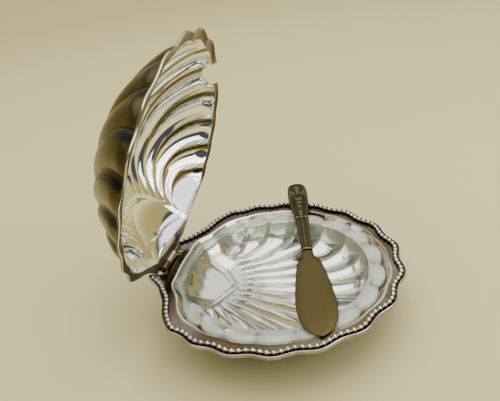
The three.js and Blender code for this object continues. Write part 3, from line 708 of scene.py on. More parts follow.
@dataclass
class BaseDish:
    """Base dish with its fluted well, and the border of beads round its flange."""

    place: Placing
    sheet: float = 1.3
    well_depth: float = 20.0
    lip_drop: float = 0.5
    lip_round: float = 1.0
    flute: float = 1.5
    lip_inside: float = 2.3
    lip_width: float = 0.7
    lip_top: float = 0.2
    seat_margin: float = 2.1
    roll_width: float = 1.4
    bead_pitch: float = 3.8
    bead_waist: float = 0.8
    bead_flat: float = 0.6

    def well(self, angle: Array, t: Array, ring: Array) -> Array:
        """Points of the well's upper face: a bowl 20 (1 - drop) deep, hollowed by flutes of up to 1.5."""
        plan = WELL.plan(angle, t, ring)
        bowl = self.well_depth * (1 - WELL.drop(plan, angle, t))
        z = FLANGE_Z - self.lip_drop - bowl - self.flute * WELL.arch(angle, t, 0.22, 0.3)
        return with_height(plan, z)

    def rim_radius(self, angle: Array) -> Array:
        """Returns the outer radius, which ends in a straight line in front of the hinge."""
        free = RIM.radius(angle) + self.lip_inside + self.lip_width
        return np.where(self.on_seat(angle), cross_angle(SEAT_X, angle), free)

    def on_seat(self, angle: Array) -> Array:
        """Returns where the rim lies in front of the hinge, past the border's ends."""
        return np.abs(angle) >= RIM.end() + self.seat_margin

    def dish(self) -> bpy.types.Object:
        """Returns the dish: rows run from the umbo up the well, over its rolled edge and flange to the lip."""
        # A pair of columns on each side keeps the rim's corner before the hinge crisp
        angle = np.sort(np.concatenate([RIM.columns(22, 60), [-168.35, -168.25, 168.25, 168.35]]))
        zero, one = np.zeros_like(angle), np.ones_like(angle)
        rows = Rows(angle)
        for ring in np.linspace(0, 1, 9)[:-1]:
            rows.add(self.well(angle, zero, ring * one), 0.0)
        for t in 1 - (1 - np.linspace(0, 1, 40)) ** 1.35:
            rows.add(self.well(angle, t * one, one), 0.1 * smooth((t - 0.85) / 0.15))
        under = [p - np.array([0, 0, self.sheet]) for p in rows.points][::-1]
        edge, inner = WELL.edge(angle), self.rim_radius(angle) - self.lip_width
        # The rolled edge is darker on the fan, and a painted highlight runs along it beside the hinge and at
        # -20 degrees
        off_highlight = 0.5 * (1 - smooth((np.abs(angle) - 95) / 40)) * smooth((np.abs(angle + 20)) / 60)
        rolled = ((0.25, -0.26, 0.0), (0.6, -0.06, 0.0), (1.0, 0.04, 0.05), (self.roll_width, 0.0, 0.35))
        for out, up, dulled_and_shaded in rolled:
            rows.add(at_radius(angle, np.minimum(edge + out, inner - 0.4), FLANGE_Z + up), dulled_and_shaded + off_highlight)
        # The flange sags by 0.12 in the middle and darkens towards the beads as painted shade
        for share in (0.12, 0.3, 0.5, 0.7, 0.88, 1.0):
            radius = mix(np.minimum(edge + self.roll_width, inner - 0.3), inner, share)
            sag = 0.12 * np.sin(np.pi * share)
            rows.add(at_radius(angle, radius, FLANGE_Z - sag), 0.6 + 0.2 * smooth((share - 0.7) / 0.3))
        top = np.where(self.on_seat(angle), FLANGE_Z + 0.01, self.lip_top)
        low = FLANGE_Z - self.sheet
        # Lip rows: painted shade beside the beads and underneath, a painted glint along the top
        lip = (
            (0.1, top - 0.15, 0.8), (0.22, top, 0.5), (0.5, top, 0.2), (self.lip_width, top - 0.2, 0.4),
            (self.lip_width, low + 0.25, 0.45), (0.45, low, 0.85),
        )
        for out, z, dulled_and_shaded in lip:
            rows.add(at_radius(angle, inner + out, z), dulled_and_shaded)
        rows.add(at_radius(angle, np.minimum(edge + self.lip_round, inner), low), 0.7)
        for row in under:
            rows.add(row, 0.6)
        grid, tarnish_and_shade = rows.grid()
        lip_starts = grid.shape[1] - len(under) - len(lip) - 2
        slots = (np.arange(grid.shape[1]) >= lip_starts).astype(int)
        finishes = [Finish.FLANGE.material(), Finish.LIP.material()]
        return shell_piece(self.place.fixed(grid), {"tarnish_and_shade": tarnish_and_shade}, slots).make("dish_body", finishes)

    def beads(self) -> bpy.types.Object:
        """Returns the border: balls on a wire, of radius r(s) = max(waist, sqrt(R^2 - s^2)), flat below."""
        angle = np.linspace(-RIM.end(), RIM.end(), 6001)
        line = at_radius(angle, RIM.radius(angle), 0.0)[:, :2]
        run = np.concatenate([[0], np.cumsum(np.hypot(*np.diff(line, axis=0).T))])
        count = round(run[-1] / self.bead_pitch)
        place = np.linspace(0, count, count * 12 + 1)
        along = place / count * run[-1]
        centre = np.stack([np.interp(along, run, line[:, k]) for k in (0, 1)], axis=-1)
        tangent = np.gradient(centre, axis=0)
        tangent /= np.hypot(*tangent.T)[:, None]
        across = np.stack([tangent[:, 1], -tangent[:, 0]], axis=-1)
        offset = (place - np.floor(place) - 0.5) * run[-1] / count
        radius = np.maximum(self.bead_waist, np.sqrt(np.maximum(BEAD_RADIUS**2 - offset**2, 0)))
        turn = np.linspace(0, 2 * np.pi, 15)[:-1]
        side = radius[:, None] * np.cos(turn)
        up = np.maximum(radius[:, None] * np.sin(turn), -self.bead_flat)
        plan = centre[:, None] + across[:, None] * side[..., None]
        rings = self.place.fixed(with_height(plan, up))
        # The bead tops stay bright as a painted highlight; the sides and necks darken as tarnish and painted
        # shade
        dulled_and_shaded = 0.78 - 0.3 * smooth((up - 0.1) / 0.7) - 0.4 * smooth((up - 1.2) / 0.35)
        return tube_piece(rings[:, ::-1], {"tarnish_and_shade": dulled_and_shaded[:, ::-1]}).make(
            "bead_wire", [Finish.BORDER.material()], sharp=60
        )

    def build(self) -> None:
        """Makes the dish and its border and puts them on the base."""
        hand_over(self.dish(), "base", "base_dish")
        hand_over(self.beads(), "base", "bead_border")


@dataclass
class GlassLiner:
    """Pressed glass liner: a fluted basin with a round edge inside a broad rim of domed petals."""

    place: Placing
    base: BaseDish
    thickness: float = 3.0
    inset: float = 2.5
    scallop: float = 2.8
    rim_width: float = 9.5
    most_rim: float = 0.35
    wall_start: float = 0.88
    petal_dip: float = 1.6
    edge_round: float = 0.8
    haze: float = 0.02
    rim_haze: float = 0.38
    top: float = -1.8
    floor_gap: float = 0.7
    wall_gap: float = 1.0
    ridge_height: float = 0.7
    ridge_spread: float = 0.9
    ridge: tuple[tuple[float, float], ...] = (
        (-50.0, 19.0), (-41.0, 15.5), (-30.5, 1.5), (-39.5, -18.5), (-49.0, -22.0),
    )

    def reach(self, angle: Array) -> tuple[Array, Array, Array]:
        """Returns where the edge, the wall's outer side and the basin's edge lie along each flute line."""
        notch = self.scallop * RIM.on_fan(angle) * (1 - WELL.scallop(angle))
        edge = WELL.crossing(angle, self.inset + notch)
        inner = np.maximum(WELL.crossing(angle, self.inset + self.rim_width), edge - self.most_rim)
        outer = WELL.crossing(angle, self.inset + self.rim_width - self.thickness)
        outer = np.maximum(np.minimum(outer, mix(inner, edge, 0.4)), mix(inner, edge, 0.2))
        return edge, outer, inner

    def moulding(self, points: Array) -> Array:
        """Height of the V-shaped ridge round the umbo: 0.7 exp(-(d / 0.9)^2) at a distance d from its line.

        Args:
            points: Points of the upper face.

        Returns:
            The height to add at each point.
        """
        nearest = np.full(points.shape[:-1], np.inf)
        for a, b in zip(self.ridge, self.ridge[1:]):
            a, run = np.array(a), np.array(b) - np.array(a)
            away = points[..., :2] - a
            share = np.clip((away @ run) / (run @ run), 0, 1)
            nearest = np.minimum(nearest, np.linalg.norm(away - share[..., None] * run, axis=-1))
        return self.ridge_height * np.exp(-((nearest / self.ridge_spread) ** 2))

    def build(self) -> None:
        """Makes the liner: a floor 3 thick, a wall rising as u^1.7, and petals that dip to their notches."""
        angle = RIM.columns(22, 50)
        edge, outer, inner = self.reach(angle)
        one = np.ones_like(angle)

        def under(t: Array, ring: Array) -> Array:
            """Returns points of the liner's under face, clear of the well by 0.7 to 1.0."""
            p = self.base.well(angle, t, ring)
            share = np.minimum(WELL.share(p[:, :2]), 1)
            return p + np.stack([0 * one, 0 * one, mix(self.floor_gap, self.wall_gap, share**6)], axis=-1)

        def over(p: Array) -> Array:
            """Returns points of the upper face, kept below the rim's top."""
            q = p.copy()
            q[:, 2] = np.minimum(q[:, 2] + self.thickness + self.moulding(q), self.top)
            return q

        def under_rim(t: Array) -> Array:
            """Returns points under the rim, no lower than its even thickness."""
            p = under(t, one)
            p[:, 2] = np.maximum(p[:, 2], self.top - self.thickness)
            return p

        rings = [under(0 * one, one * r) for r in np.linspace(0, 1, 26)[:-1]]
        lines = [under(inner * self.wall_start * s, one) for s in np.linspace(0, 1, 40)]
        rows = Rows(angle)
        for row in rings + lines:
            rows.add(over(row), self.haze)
        foot = rows.points[-1][:, 2]
        for u in (0.12, 0.25, 0.4, 0.55, 0.7, 0.82, 0.92):
            p = self.base.well(angle, mix(self.wall_start, 1, u) * inner, one)
            p[:, 2] = mix(foot, self.top, u**1.7)
            rows.add(p, self.haze)
        rim_in, rim_out = self.base.well(angle, inner, one), self.base.well(angle, edge, one)
        fan = RIM.on_fan(angle)
        notch = fan * (1 - WELL.scallop(angle))
        for u in (0.0, 0.03, 0.1, 0.2, 0.32, 0.44, 0.56, 0.68, 0.78, 0.86, 0.92, 0.97, 1.0):
            p = mix(rim_in, rim_out, u)
            rounded = 1 - math.sqrt(1 - min(max((u - 0.84) / 0.16, 0), 1) ** 2)
            lip = 0.25 * (1 - smooth(np.array(u / 0.1)))
            dip = self.petal_dip * notch * smooth((u - 0.1) / 0.9)
            p[:, 2] = self.top - lip - self.edge_round * rounded - dip
            # The haze clears in the notches and beside the hinge
            clearer = (0.5 + 0.5 * fan) * (1 - 0.75 * notch**1.5 * smooth(np.array(u / 0.4)))
            rows.add(p, self.rim_haze * clearer)
        below = [under_rim(mix(outer, edge, u)) for u in (1.0, 0.8, 0.5, 0.2, 0.0)]
        below[0][:, 2] = np.minimum(below[0][:, 2], rows.points[-1][:, 2] - 0.3)
        for row in below + [under(mix(inner, outer, 0.3), one)]:
            rows.add(row, self.rim_haze)
        for row in lines[::-1] + rings[::-1]:
            rows.add(row, self.haze)
        grid, haze = rows.grid()
        piece = shell_piece(self.place.fixed(grid), {"milk": haze})
        thing = piece.make("liner_glass", [PressedGlass().build()], sharp=50)
        hand_over(thing, "liner", "glass_liner")


@dataclass
class Lid:
    """Domed, fluted lid with a flat flange and a notch for the knife's handle."""

    place: Placing
    sheet: float = 1.2
    wall_extra: float = 0.3
    height: float = 38.5
    flute: float = 2.4
    bulge: float = 3.2
    ripple: float = 0.05
    ripple_step: float = 0.08
    brim: float = 1.1
    lobe_dome: float = 0.55
    notch_angle: float = 65.0
    # Half the handle's width at the rim, and its clearance
    notch_half_width: float = 7.4 * 0.93 + 1.4
    notch_height: float = 8.0
    notch_reach: float = 14.0

    def dome(self, angle: Array, t: Array, ring: Array) -> Array:
        """Points of the closed lid's inner face: 38.5 (1 - drop), the flutes' arches and the umbo's bulge.

        The bulge is 3.2 (1 - ring^2)^0.8, ripples cos(2 pi t / 0.08) follow the umbo beside the hinge, and the
        foot stands a brim above the rim.

        Args:
            angle: Angle of each flute line's end, in degrees.
            t: Place along the line, 0 at the umbo and 1 at the dome's foot.
            ring: Place across the umbo, 0 at its centre and 1 at its edge.

        Returns:
            Points in drawing millimetres.
        """
        plan = DOME.plan(angle, t, ring)
        foot = self.brim * LID_RIM.on_fan(angle)
        drop = DOME.drop(plan, angle, t)
        rise = self.height * (1 - drop) + foot * drop + self.flute * DOME.arch(angle, t, 0.12, 0.12)
        waves = np.cos(2 * np.pi * t / self.ripple_step) * smooth(t / 0.05) * smooth((0.5 - t) / 0.1)
        ripples = self.ripple * (1 - LID_RIM.on_fan(angle)) * waves
        return with_height(plan, HINGE_HEIGHT + rise + self.bulge * (1 - ring * ring) ** 0.8 - ripples)

    def rim_radius(self, angle: Array) -> Array:
        """Returns the lid's outer radius, which is straight in front of the hinge."""
        free = LID_RIM.radius(angle)
        back = np.where(np.abs(angle) > 90, cross_angle(SEAT_X, angle), np.inf)
        return np.minimum(free, back)

    def cutter(self, knife: "Knife") -> bpy.types.Object:
        """Returns an elliptical bar along the swung knife that cuts the notch, with half axes 8.3 and 8."""
        turn = np.linspace(0, 2 * np.pi, 65)[:-1]
        angle = np.array(self.notch_angle)
        mouth = at_radius(angle, self.rim_radius(angle), HINGE_HEIGHT)
        along = mouth[:2] - knife.tip()
        along /= np.hypot(*along)
        across = np.array([along[1], -along[0]])
        rings = []
        for reach in (-self.notch_reach, self.notch_reach):
            plan = mouth[:2] + along * reach + across * (self.notch_half_width * np.cos(turn))[:, None]
            rings.append(with_height(plan, mouth[2] + self.notch_height * np.sin(turn)))
        points = self.place.on_lid(np.stack(rings))
        return tube_piece(points[::-1], {"tarnish_and_shade": np.zeros(points.shape[:2])}).make("notch_cutter", [])

    def build(self, knife: "Knife") -> None:
        """Makes the lid, bright inside and dulled outside, and cuts the notch.

        Args:
            knife: The knife that the notch lets out.
        """
        angle = LID_RIM.columns(24, 50)
        one = np.ones_like(angle)
        steps = 1 - (1 - np.linspace(0, 1, 46)) ** 1.15
        rings = np.sin(np.linspace(0, np.pi / 2, 22)[:-1])
        inside = [self.dome(angle, 0 * one, one * r) for r in rings]
        inside += [self.dome(angle, one * t, one) for t in steps]
        lift = [self.sheet + self.wall_extra] * (len(inside) - 1) + [self.sheet]
        fan = LID_RIM.on_fan(angle)
        lobe = LID_RIM.fraction(np.abs(angle))
        # Outside, painted shade darkens a band on one side of each crease between the lobes
        crease = smooth((lobe + 0.5) / 0.12) * smooth((-0.12 - lobe) / 0.16) + smooth((lobe - 0.42) / 0.08)
        rows = Rows(angle)
        for row, up in zip(inside, lift):
            rows.add(row + np.array([0, 0, up]), 0.42 + 0.58 * crease * fan)
        rim, foot = self.rim_radius(angle), DOME.edge(angle)
        top = HINGE_HEIGHT + self.sheet
        slope = self.brim * fan
        for share in (0.15, 0.35, 0.5, 0.65, 0.85):
            rows.add(at_radius(angle, mix(foot, rim, share), top + slope * (1 - share)), 0.8)
        # The lid's edge stays bright as a painted highlight along the rim
        for back, down, dulled_and_shaded in ((0.3, 0.0, 0.2), (0.0, 0.3, 0.0), (0.0, 0.9, 0.0), (0.3, 1.2, 0.1)):
            rows.add(at_radius(angle, rim - back, top - down), dulled_and_shaded)
        rim_shares = (0.96, 0.85, 0.7, 0.55, 0.4, 0.25, 0.12, 0.04)
        for share in rim_shares:
            domed = self.lobe_dome * fan * DOME.scallop(angle) * math.sin(math.pi * share)
            z = HINGE_HEIGHT + slope * (1 - share) + domed
            rows.add(at_radius(angle, mix(foot, rim - 0.3, share), z), 0.72)
        # Inside, one flank of each flute gets painted shade and a painted olive reflection
        shaded_flank = smooth((lobe + 0.42) / 0.2) * smooth((0.05 - lobe) / 0.25) * fan
        grown = np.concatenate([0 * rings, smooth(steps / 0.3)])
        for row, share in zip(inside[::-1], grown[::-1]):
            rows.add(row, 0.02 + 0.7 * shaded_flank * share)
        grid, tarnish_and_shade = rows.grid()
        inner_start = grid.shape[1] - len(inside)
        rim_start = inner_start - len(rim_shares)
        slots = np.ones(grid.shape[1], dtype=int)
        slots[: rim_start - 2] = 0
        slots[rim_start:inner_start] = 2
        piece = shell_piece(self.place.on_lid(grid), {"tarnish_and_shade": tarnish_and_shade}, slots)
        finishes = [Finish.BACK.material(), Finish.MIRROR.material(), Finish.LID_RIM.material()]
        thing = piece.make("lid_dome", finishes, sharp=50)
        cutter = self.cutter(knife)
        cut = thing.modifiers.new("notch", "BOOLEAN")
        cut.operation = "DIFFERENCE"
        cut.object = cutter
        cut.solver = "EXACT"
        bpy.context.view_layer.update()
        ready = thing.evaluated_get(bpy.context.evaluated_depsgraph_get())
        finished = bpy.data.meshes.new_from_object(ready)
        thing.modifiers.clear()
        thing.data = finished
        bpy.data.objects.remove(cutter)
        finished.set_sharp_from_angle(angle=math.radians(50))
        hand_over(thing, "lid", "lid_shell")


@dataclass
class Knife:
    """Spreading knife: a stamped handle with relief and a broad flat blade."""

    place: Placing
    length: float = 165.6
    handle: float = 88.0
    half_width: float = 7.4
    half_thickness: float = 2.0
    blade_half_width: float = 11.8
    blade_thickness: float = 1.2
    edge_thickness: float = 0.4
    heading: float = 104.66
    tip_angle: float = -58.7
    tip_on_flange: float = 1.8
    rest_gap: float = 0.3
    solder_gap: float = 0.3
    settling_steps: int = 60
    handle_outline: tuple[tuple[float, float], ...] = (
        (0, 0.3), (0.025, 0.72), (0.07, 0.92), (0.16, 1), (0.24, 0.98), (0.34, 0.93), (0.44, 0.8),
        (0.52, 0.7), (0.6, 0.63), (0.74, 0.58), (0.9, 0.54), (1, 0.51),
    )
    blade_outline: tuple[tuple[float, float], ...] = (
        (0, 0.3), (0.07, 0.34), (0.105, 0.44), (0.14, 0.57), (0.22, 0.71), (0.31, 0.8), (0.43, 0.89),
        (0.56, 0.965), (0.66, 1), (0.76, 0.965), (0.83, 0.89), (0.885, 0.77), (0.93, 0.6),
        (0.97, 0.33), (1, 0.04),
    )

    def along(self) -> Array:
        """Returns the direction from the tip to the handle's end."""
        return np.array([math.cos(math.radians(self.heading)), math.sin(math.radians(self.heading))])

    def tip(self) -> Array:
        """Returns the tip in plan, just outside the well's edge."""
        radius = float(WELL.mean(np.array(self.tip_angle))) + self.tip_on_flange
        turn = math.radians(self.tip_angle)
        return radius * np.array([math.cos(turn), math.sin(turn)])

    def slope(self) -> tuple[float, float]:
        """Returns the height of the tip's middle and the rise per millimetre towards the handle's end."""
        reach = self.length / 2
        for _ in range(self.settling_steps):
            p = self.tip() + self.along() * reach
            angle = np.array(math.degrees(math.atan2(p[1], p[0])))
            reach += (float(RIM.radius(angle)) - math.hypot(*p)) / 2
        tip_z = FLANGE_Z + self.rest_gap + self.blade_thickness / 2
        return tip_z, (BEAD_RADIUS + self.rest_gap + self.half_thickness - tip_z) / reach

    def points(self, distance: Array, side: Array, up: Array) -> Array:
        """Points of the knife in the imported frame.

        Args:
            distance: Distance from the handle's end.
            side: Offset across the knife.
            up: Height above its middle plane.

        Returns:
            The points in metres.
        """
        back = self.length - distance
        tip_z, rise = self.slope()
        a = self.along()
        across = np.array([a[1], -a[0]])
        plan = self.tip() + back[..., None] * a + side[..., None] * across
        return self.place.fixed(with_height(plan, tip_z + rise * back + up))

    def relief(self, s: Array, v: Array) -> Array:
        """Stamped relief of the handle, as a height from 0 to 1.

        A fan of ribs cos(11 b) spreads from a point 21 mm from the end, and a husk of leaves cos(2 pi s / 5)
        hangs below it. Three beads lie across with two above them, reeds cos(3 pi v) run down the shank, and a
        thread follows the edge.

        Args:
            s: Distance from the handle's end.
            v: Place across, from -1 to 1.

        Returns:
            The height of the relief.
        """
        x = v * self.half_width * curve_through(self.handle_outline, s / self.handle)
        thread = np.exp(-(((np.abs(v) - 0.84) / 0.07) ** 2))
        point, husk_end = 21, 40
        r, b = np.hypot(x, point - s), np.arctan2(x, point - s)
        ribs = 0.55 + 0.45 * np.cos(11 * b)
        fan = ribs * smooth((16.5 - r) / 1.5) * smooth((r - 2.5) / 3) * smooth((1.25 - np.abs(b)) / 0.25)
        leaf_half = 3.4 - 2.2 * (s - point) / (husk_end - point)
        veins = 0.55 + 0.45 * np.cos(2 * np.pi * (s + 0.7 * np.abs(x)) / 5)
        leaves = veins * smooth((s - point) / 2) * smooth((husk_end - s) / 3)
        leaves *= smooth((leaf_half - np.abs(x)) / 0.9)
        beads = np.zeros_like(x)
        for at, offset in ((48.5, -3.2), (48.5, 0.0), (48.5, 3.2), (44.9, 0.0), (41.9, 0.0)):
            away = ((s - at) ** 2 + (x - offset) ** 2) / 1.5**2
            beads = np.maximum(beads, np.sqrt(np.clip(1 - away, 0, 1)))
        reeds = (0.5 + 0.5 * np.cos(3 * np.pi * v)) * smooth((0.75 - np.abs(v)) / 0.1)
        reeds *= smooth((s - 51) / 2) * smooth((85 - s) / 2)
        ferrule = np.exp(-(((s - 86.6) / 0.7) ** 2))
        return np.clip(0.8 * thread + fan + leaves + beads + 0.6 * reeds + ferrule, 0, 1.2)

    def make_handle(self) -> bpy.types.Object:
        """Returns the handle: oval sections along its outline, with relief stamped 0.35 deep on top."""
        s = self.handle * (1 - np.cos(np.linspace(0, 1, 300) ** 0.9 * np.pi)) / 2
        s[0], s[-1] = 0.0, self.handle
        turn = np.linspace(0, 2 * np.pi, 97)[:-1]
        width = curve_through(self.handle_outline, s / self.handle)
        half = (self.half_width * width)[:, None]
        thick = (self.half_thickness * np.minimum(1, 0.55 + width / 2))[:, None]
        across = np.sign(np.cos(turn)) * np.abs(np.cos(turn)) ** 0.75
        v = np.broadcast_to(across, (len(s), len(turn)))
        at = np.broadcast_to(s[:, None], v.shape)
        height = self.relief(at, v)
        upper = np.sin(turn) > 0
        sunk = np.where(upper, 0.35 * (np.clip(height, 0, 1) - 1) * smooth((0.97 - np.abs(v)) / 0.1), 0.0)
        up = thick * np.sign(np.sin(turn)) * np.abs(np.sin(turn)) ** 0.8 + sunk
        rings = self.points(at, half * v, up)
        dulled_and_shaded = np.where(upper, 0.95 - 0.7 * np.clip(height, 0, 1), 0.5)
        return tube_piece(rings, {"tarnish_and_shade": dulled_and_shaded}).make("knife_grip", [Finish.HANDLE.material()], sharp=60)

    def make_blade(self) -> bpy.types.Object:
        """Returns the blade: flat in the middle and thinner at its edge, which is darker."""
        share = 1 - (1 - np.linspace(0, 1, 160)) ** 1.5
        start = self.handle + self.solder_gap
        s = mix(start, self.length, share)
        half = (self.blade_half_width * curve_through(self.blade_outline, share))[:, None]
        one_side = np.array([0.3, 0.6, 0.75, 0.88, 0.95, 0.985, 1])
        place = np.concatenate([-one_side[::-1], [0], one_side])
        core = mix(self.edge_thickness / 2, self.blade_thickness / 2, smooth((1 - np.abs(place)) / 0.4))
        v = np.concatenate([place, place[::-1]])
        up = np.concatenate([-core, core[::-1]])
        shape = (len(s), len(v))
        rings = self.points(np.broadcast_to(s[:, None], shape), half * v, np.broadcast_to(up, shape))
        dulled_and_shaded = np.broadcast_to(0.35 + 0.6 * smooth((np.abs(v) - 0.93) / 0.05), shape)
        collar = smooth((start + 1.6 - s) / 1.2)[:, None]
        return tube_piece(rings, {"tarnish_and_shade": dulled_and_shaded * (1 - collar)}).make(
            "knife_leaf", [Finish.BLADE.material()], sharp=35
        )

    def build(self) -> None:
        """Makes the handle and the blade and puts them on the knife's body."""
        hand_over(self.make_handle(), "knife", "knife_handle")
        hand_over(self.make_blade(), "knife", "knife_blade")


@dataclass
class Hinge:
    """Hinge of three knuckles on a pin, with a leaf soldered to the base and one to the lid."""

    place: Placing
    half_width: float = 14.0
    radius: float = 2.4
    bore: float = 1.2
    end_knuckle: float = 8.0
    gap: float = 0.4
    pin_radius: float = 0.9
    overhang: float = 0.4

    def turned(
        self, name: str, profile: list[tuple[float, float, float]], finish: Finish
    ) -> bpy.types.Object:
        """Solid turned about the hinge axis from a closed profile of radius, place along it and tarnish.

        Args:
            name: Name of the piece.
            profile: Points (radius, y, tarnish) once round the section.
            finish: Finish of the piece.

        Returns:
            The new object.
        """
        section = np.array(profile)
        turn = np.linspace(0, 2 * np.pi, 49)[:-1]
        x = -HINGE_REACH + section[:, 0] * np.cos(turn)[:, None]
        z = HINGE_HEIGHT + section[:, 0] * np.sin(turn)[:, None]
        y = np.broadcast_to(section[:, 1], x.shape)
        points = self.place.fixed(np.stack([x, y, z], axis=-1))
        quads = grid_quads(*x.shape, along=True)
        marks = {"tarnish_and_shade": np.broadcast_to(section[:, 2], x.shape).reshape(-1)}
        return Piece(points.reshape(-1, 3), [quads], marks).make(name, [finish.material()], sharp=35)

    def knuckle(self, name: str, start: float, stop: float, finish: Finish) -> bpy.types.Object:
        """Returns a tube with small chamfers, from one place along the pin to another."""
        c, r, b = 0.25, self.radius, self.bore
        corners = [(b, start, 0.9), (r - c, start, 0.7), (r, start + c, 0.1)]
        corners += [(r, stop - c, 0.1), (r - c, stop, 0.7), (b, stop, 0.9)]
        return self.turned(name, corners, finish)

    def pin(self) -> bpy.types.Object:
        """Returns the pin, with ends domed by riveting."""
        end = self.half_width + self.overhang
        r = self.pin_radius
        left = [(r * math.sin(a), -end + 0.35 * (1 - math.cos(a)), 0.3) for a in (0.02, 0.5, 1.0, 1.4)]
        right = [(radius, -y, dulled_and_shaded) for radius, y, dulled_and_shaded in left[::-1]]
        rod = [(r, -end + 0.5, 0.5), (r, end - 0.5, 0.5)]
        return self.turned("pin_rod", left + rod + right, Finish.WORN)

    def build(self) -> None:
        """Makes the knuckles and the pin, and dresses the two leaves of the solids."""
        end, inside = self.half_width, self.half_width - self.end_knuckle
        middle = inside - self.gap
        thing = self.knuckle("knuckle_middle", -middle, middle, Finish.FLANGE)
        hand_over(thing, "base", "base_knuckle")
        hand_over(self.pin(), "base", "hinge_pin")
        for name, node, start, stop in (
            ("knuckle_near", "lid_knuckle_near", -end, -inside),
            ("knuckle_far", "lid_knuckle_far", inside, end),
        ):
            hand_over(self.knuckle(name, start, stop, Finish.WORN), "lid", node)
        for node in ("base_hinge_leaf", "lid_hinge_leaf"):
            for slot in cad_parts[node].material_slots:
                slot.link = "OBJECT"
                slot.material = Finish.WORN.material()
            LOG.info("%s: finish %s", node, Finish.WORN.value.name)


@dataclass
class Feet:
    """Three ball feet with a flat underside and a neck up to the well."""

    place: Placing
    radius: float = 4.4
    neck: float = 2.8
    flat: float = 2.0

    def build(self) -> None:
        """Makes each foot as a turned solid: a ball r = 4.4 cos a between its flat and its neck."""
        for node in ("foot_front", "foot_rear_near", "foot_rear_far"):
            low, high = (np.array(corner) * 1000 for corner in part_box(node))
            middle = (low + high) / 2
            drop = math.sqrt(self.radius**2 - self.flat**2)
            rise = math.sqrt(self.radius**2 - self.neck**2)
            swing = np.linspace(math.atan2(-drop, self.flat), math.atan2(rise, self.neck), 26)
            radius = np.concatenate([self.radius * np.cos(swing), [self.neck, self.neck, self.neck - 0.2]])
            height = np.concatenate(
                [low[2] + drop + self.radius * np.sin(swing), [high[2] - 1.0, high[2] - 0.2, high[2]]]
            )
            turn = np.linspace(0, 2 * np.pi, 49)[:-1]
            x = middle[0] + radius[:, None] * np.cos(turn)
            y = middle[1] + radius[:, None] * np.sin(turn)
            rings = np.stack([x, y, np.broadcast_to(height[:, None], x.shape)], axis=-1) / 1000
            dulled_and_shaded = np.broadcast_to(smooth((height - low[2] - 5) / 4)[:, None] * 0.8, x.shape)
            name = node.replace("foot", "ball_foot")
            thing = tube_piece(rings, {"tarnish_and_shade": dulled_and_shaded}).make(name, [Finish.MIRROR.material()])
            hand_over(thing, "base", node)


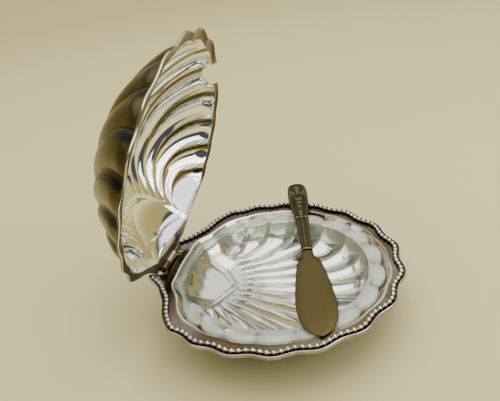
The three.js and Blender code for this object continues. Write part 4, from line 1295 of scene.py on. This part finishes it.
@dataclass
class Studio:
    """Camera at the photograph's viewing angle, a plain pale sweep and soft light."""

    place: Placing
    camera_mm: tuple[float, float, float] = (78.3, -277.9, 205.4)
    lens_mm: float = 40.04
    pitch: float = 28.4975
    roll: float = -7.8848
    heading: float = -17.946
    floor_colour: str = "#BEB17C"
    floor_reach: float = 1.25
    floor_run_on: float = 1.2
    curve: float = 0.35
    wall: float = 0.4
    surround: tuple[tuple[float, str], ...] = (
        (0.0, "#33373D"), (0.43, "#3A3F46"), (0.49, "#A4AAB0"), (0.56, "#F6F8FA"),
    )
    surround_strength: float = 1.9

    def camera(self) -> None:
        """Sets the camera, turned about the vertical, then by pitch, then by roll about its view."""
        h, p, r = (math.radians(v) for v in (self.heading, self.pitch, -self.roll))
        turned = Matrix(((math.cos(h), math.sin(h), 0), (-math.sin(h), math.cos(h), 0), (0, 0, 1)))
        right = Vector((1, 0, 0))
        up = Vector((0, math.sin(p), math.cos(p)))
        view = Vector((0, math.cos(p), -math.sin(p)))
        across = math.cos(r) * right - math.sin(r) * up
        above = math.sin(r) * right + math.cos(r) * up
        axes = [turned @ across, turned @ above, -(turned @ view)]
        data = bpy.data.cameras.new("photograph_view")
        data.lens = self.lens_mm
        data.sensor_width = 36.0
        data.clip_start = 0.01
        thing = in_scene("photograph_view", data)
        matrix = Matrix(axes).transposed().to_4x4()
        matrix.translation = Vector(self.place.fixed(np.array(self.camera_mm)))
        thing.matrix_world = matrix
        bpy.context.scene.camera = thing

    def sweep(self) -> None:
        """Makes the floor, which curves up through a quarter circle into a plain wall on the far sides.

        A profile along the radius is carried round the dish. Its rise is 1 behind and beside the dish and 0 on
        the camera's side, where the floor runs on level.
        """
        turn = np.linspace(0, np.pi / 2, 20)
        floor = np.linspace(0.02, self.floor_reach, 14)[:-1]
        reach = np.concatenate([floor, self.floor_reach + self.curve * np.sin(turn)])
        height = np.concatenate([0 * floor, self.curve * (1 - np.cos(turn))])
        reach, height = np.append(reach, reach[-1] + 0.02), np.append(height, height[-1] + self.wall)
        around = np.radians(np.linspace(0, 360, 121)[:-1])
        cos, sin = np.cos(around)[:, None], np.sin(around)[:, None]
        rise = smooth((np.sin(around - 0.35) + 0.62) / 0.3)[:, None]
        spread = reach + (1 - rise) * smooth((reach - self.floor_reach) / self.curve) * self.floor_run_on
        grid = np.stack([spread * cos, spread * sin, height * rise], axis=-1)
        points = np.concatenate([grid.reshape(-1, 3), [[0.0, 0.0, 0.0]]])
        first = np.arange(len(around)) * len(reach)
        hub = np.stack([np.full(len(around), len(points) - 1), first, np.roll(first, -1)], axis=-1)
        material = bpy.data.materials.new("matte_backdrop_paper")
        material.use_nodes = True
        shader = material.node_tree.nodes["Principled BSDF"]
        shader.inputs["Base Color"].default_value = linear(self.floor_colour)
        shader.inputs["Roughness"].default_value = 0.9
        quads = grid_quads(len(around), len(reach))
        Piece(points, [quads, hub]).make("backdrop_sweep", [material])

    def softbox(
        self, name: str, spot: tuple[float, float, float], size: float, power: float, tint: str
    ) -> None:
        """Adds a square soft light that looks at the middle of the dish.

        Args:
            name: Name of the light.
            spot: Its place in metres.
            size: Length of its side in metres.
            power: Its power in watts.
            tint: Its colour as sRGB hex.
        """
        data = bpy.data.lights.new(name, "AREA")
        data.shape = "SQUARE"
        data.size = size
        data.energy = power
        data.color = linear(tint)[:3]
        aim = Vector((0.0, 0.0, 0.05)) - Vector(spot)
        turned = aim.to_track_quat("-Z", "Y").to_matrix().to_4x4()
        in_scene(name, data).matrix_world = Matrix.Translation(spot) @ turned

    def build(self) -> None:
        """Sets up the camera, the sweep, the lights and a soft grey surround."""
        self.camera()
        self.sweep()
        self.softbox("overhead_softbox", (0.1, 0.1, 1.3), 1.3, 14.0, "#FFFFFF")
        self.softbox("side_softbox", (1.1, -0.2, 0.7), 0.7, 6.0, "#F4F7FF")
        world = bpy.data.worlds.new("soft_surround")
        world.use_nodes = True
        tree = world.node_tree
        place = add_node(tree, "ShaderNodeTexCoord")
        axes = add_node(tree, "ShaderNodeSeparateXYZ", links={"Vector": place.outputs["Generated"]})
        ramp = add_node(tree, "ShaderNodeValToRGB", links={"Fac": axes.outputs["Z"]})
        stops = ramp.color_ramp.elements
        stops.remove(stops[1])
        stops[0].color = linear(self.surround[0][1])
        for position, colour in self.surround[1:]:
            stops.new(position).color = linear(colour)
        tree.links.new(ramp.outputs["Color"], tree.nodes["Background"].inputs["Color"])
        tree.nodes["Background"].inputs["Strength"].default_value = self.surround_strength
        bpy.context.scene.world = world


def main() -> None:
    """Builds the dish, the liner, the lid, the knife, the hinge and the feet, then the studio."""
    logging.basicConfig(level=logging.INFO, format="%(message)s")
    place = Placing()
    base = BaseDish(place)
    knife = Knife(place)
    base.build()
    GlassLiner(place, base).build()
    Lid(place).build(knife)
    knife.build()
    Hinge(place).build()
    Feet(place).build()
    Studio(place).build()


if __name__ == "__main__":
    main()
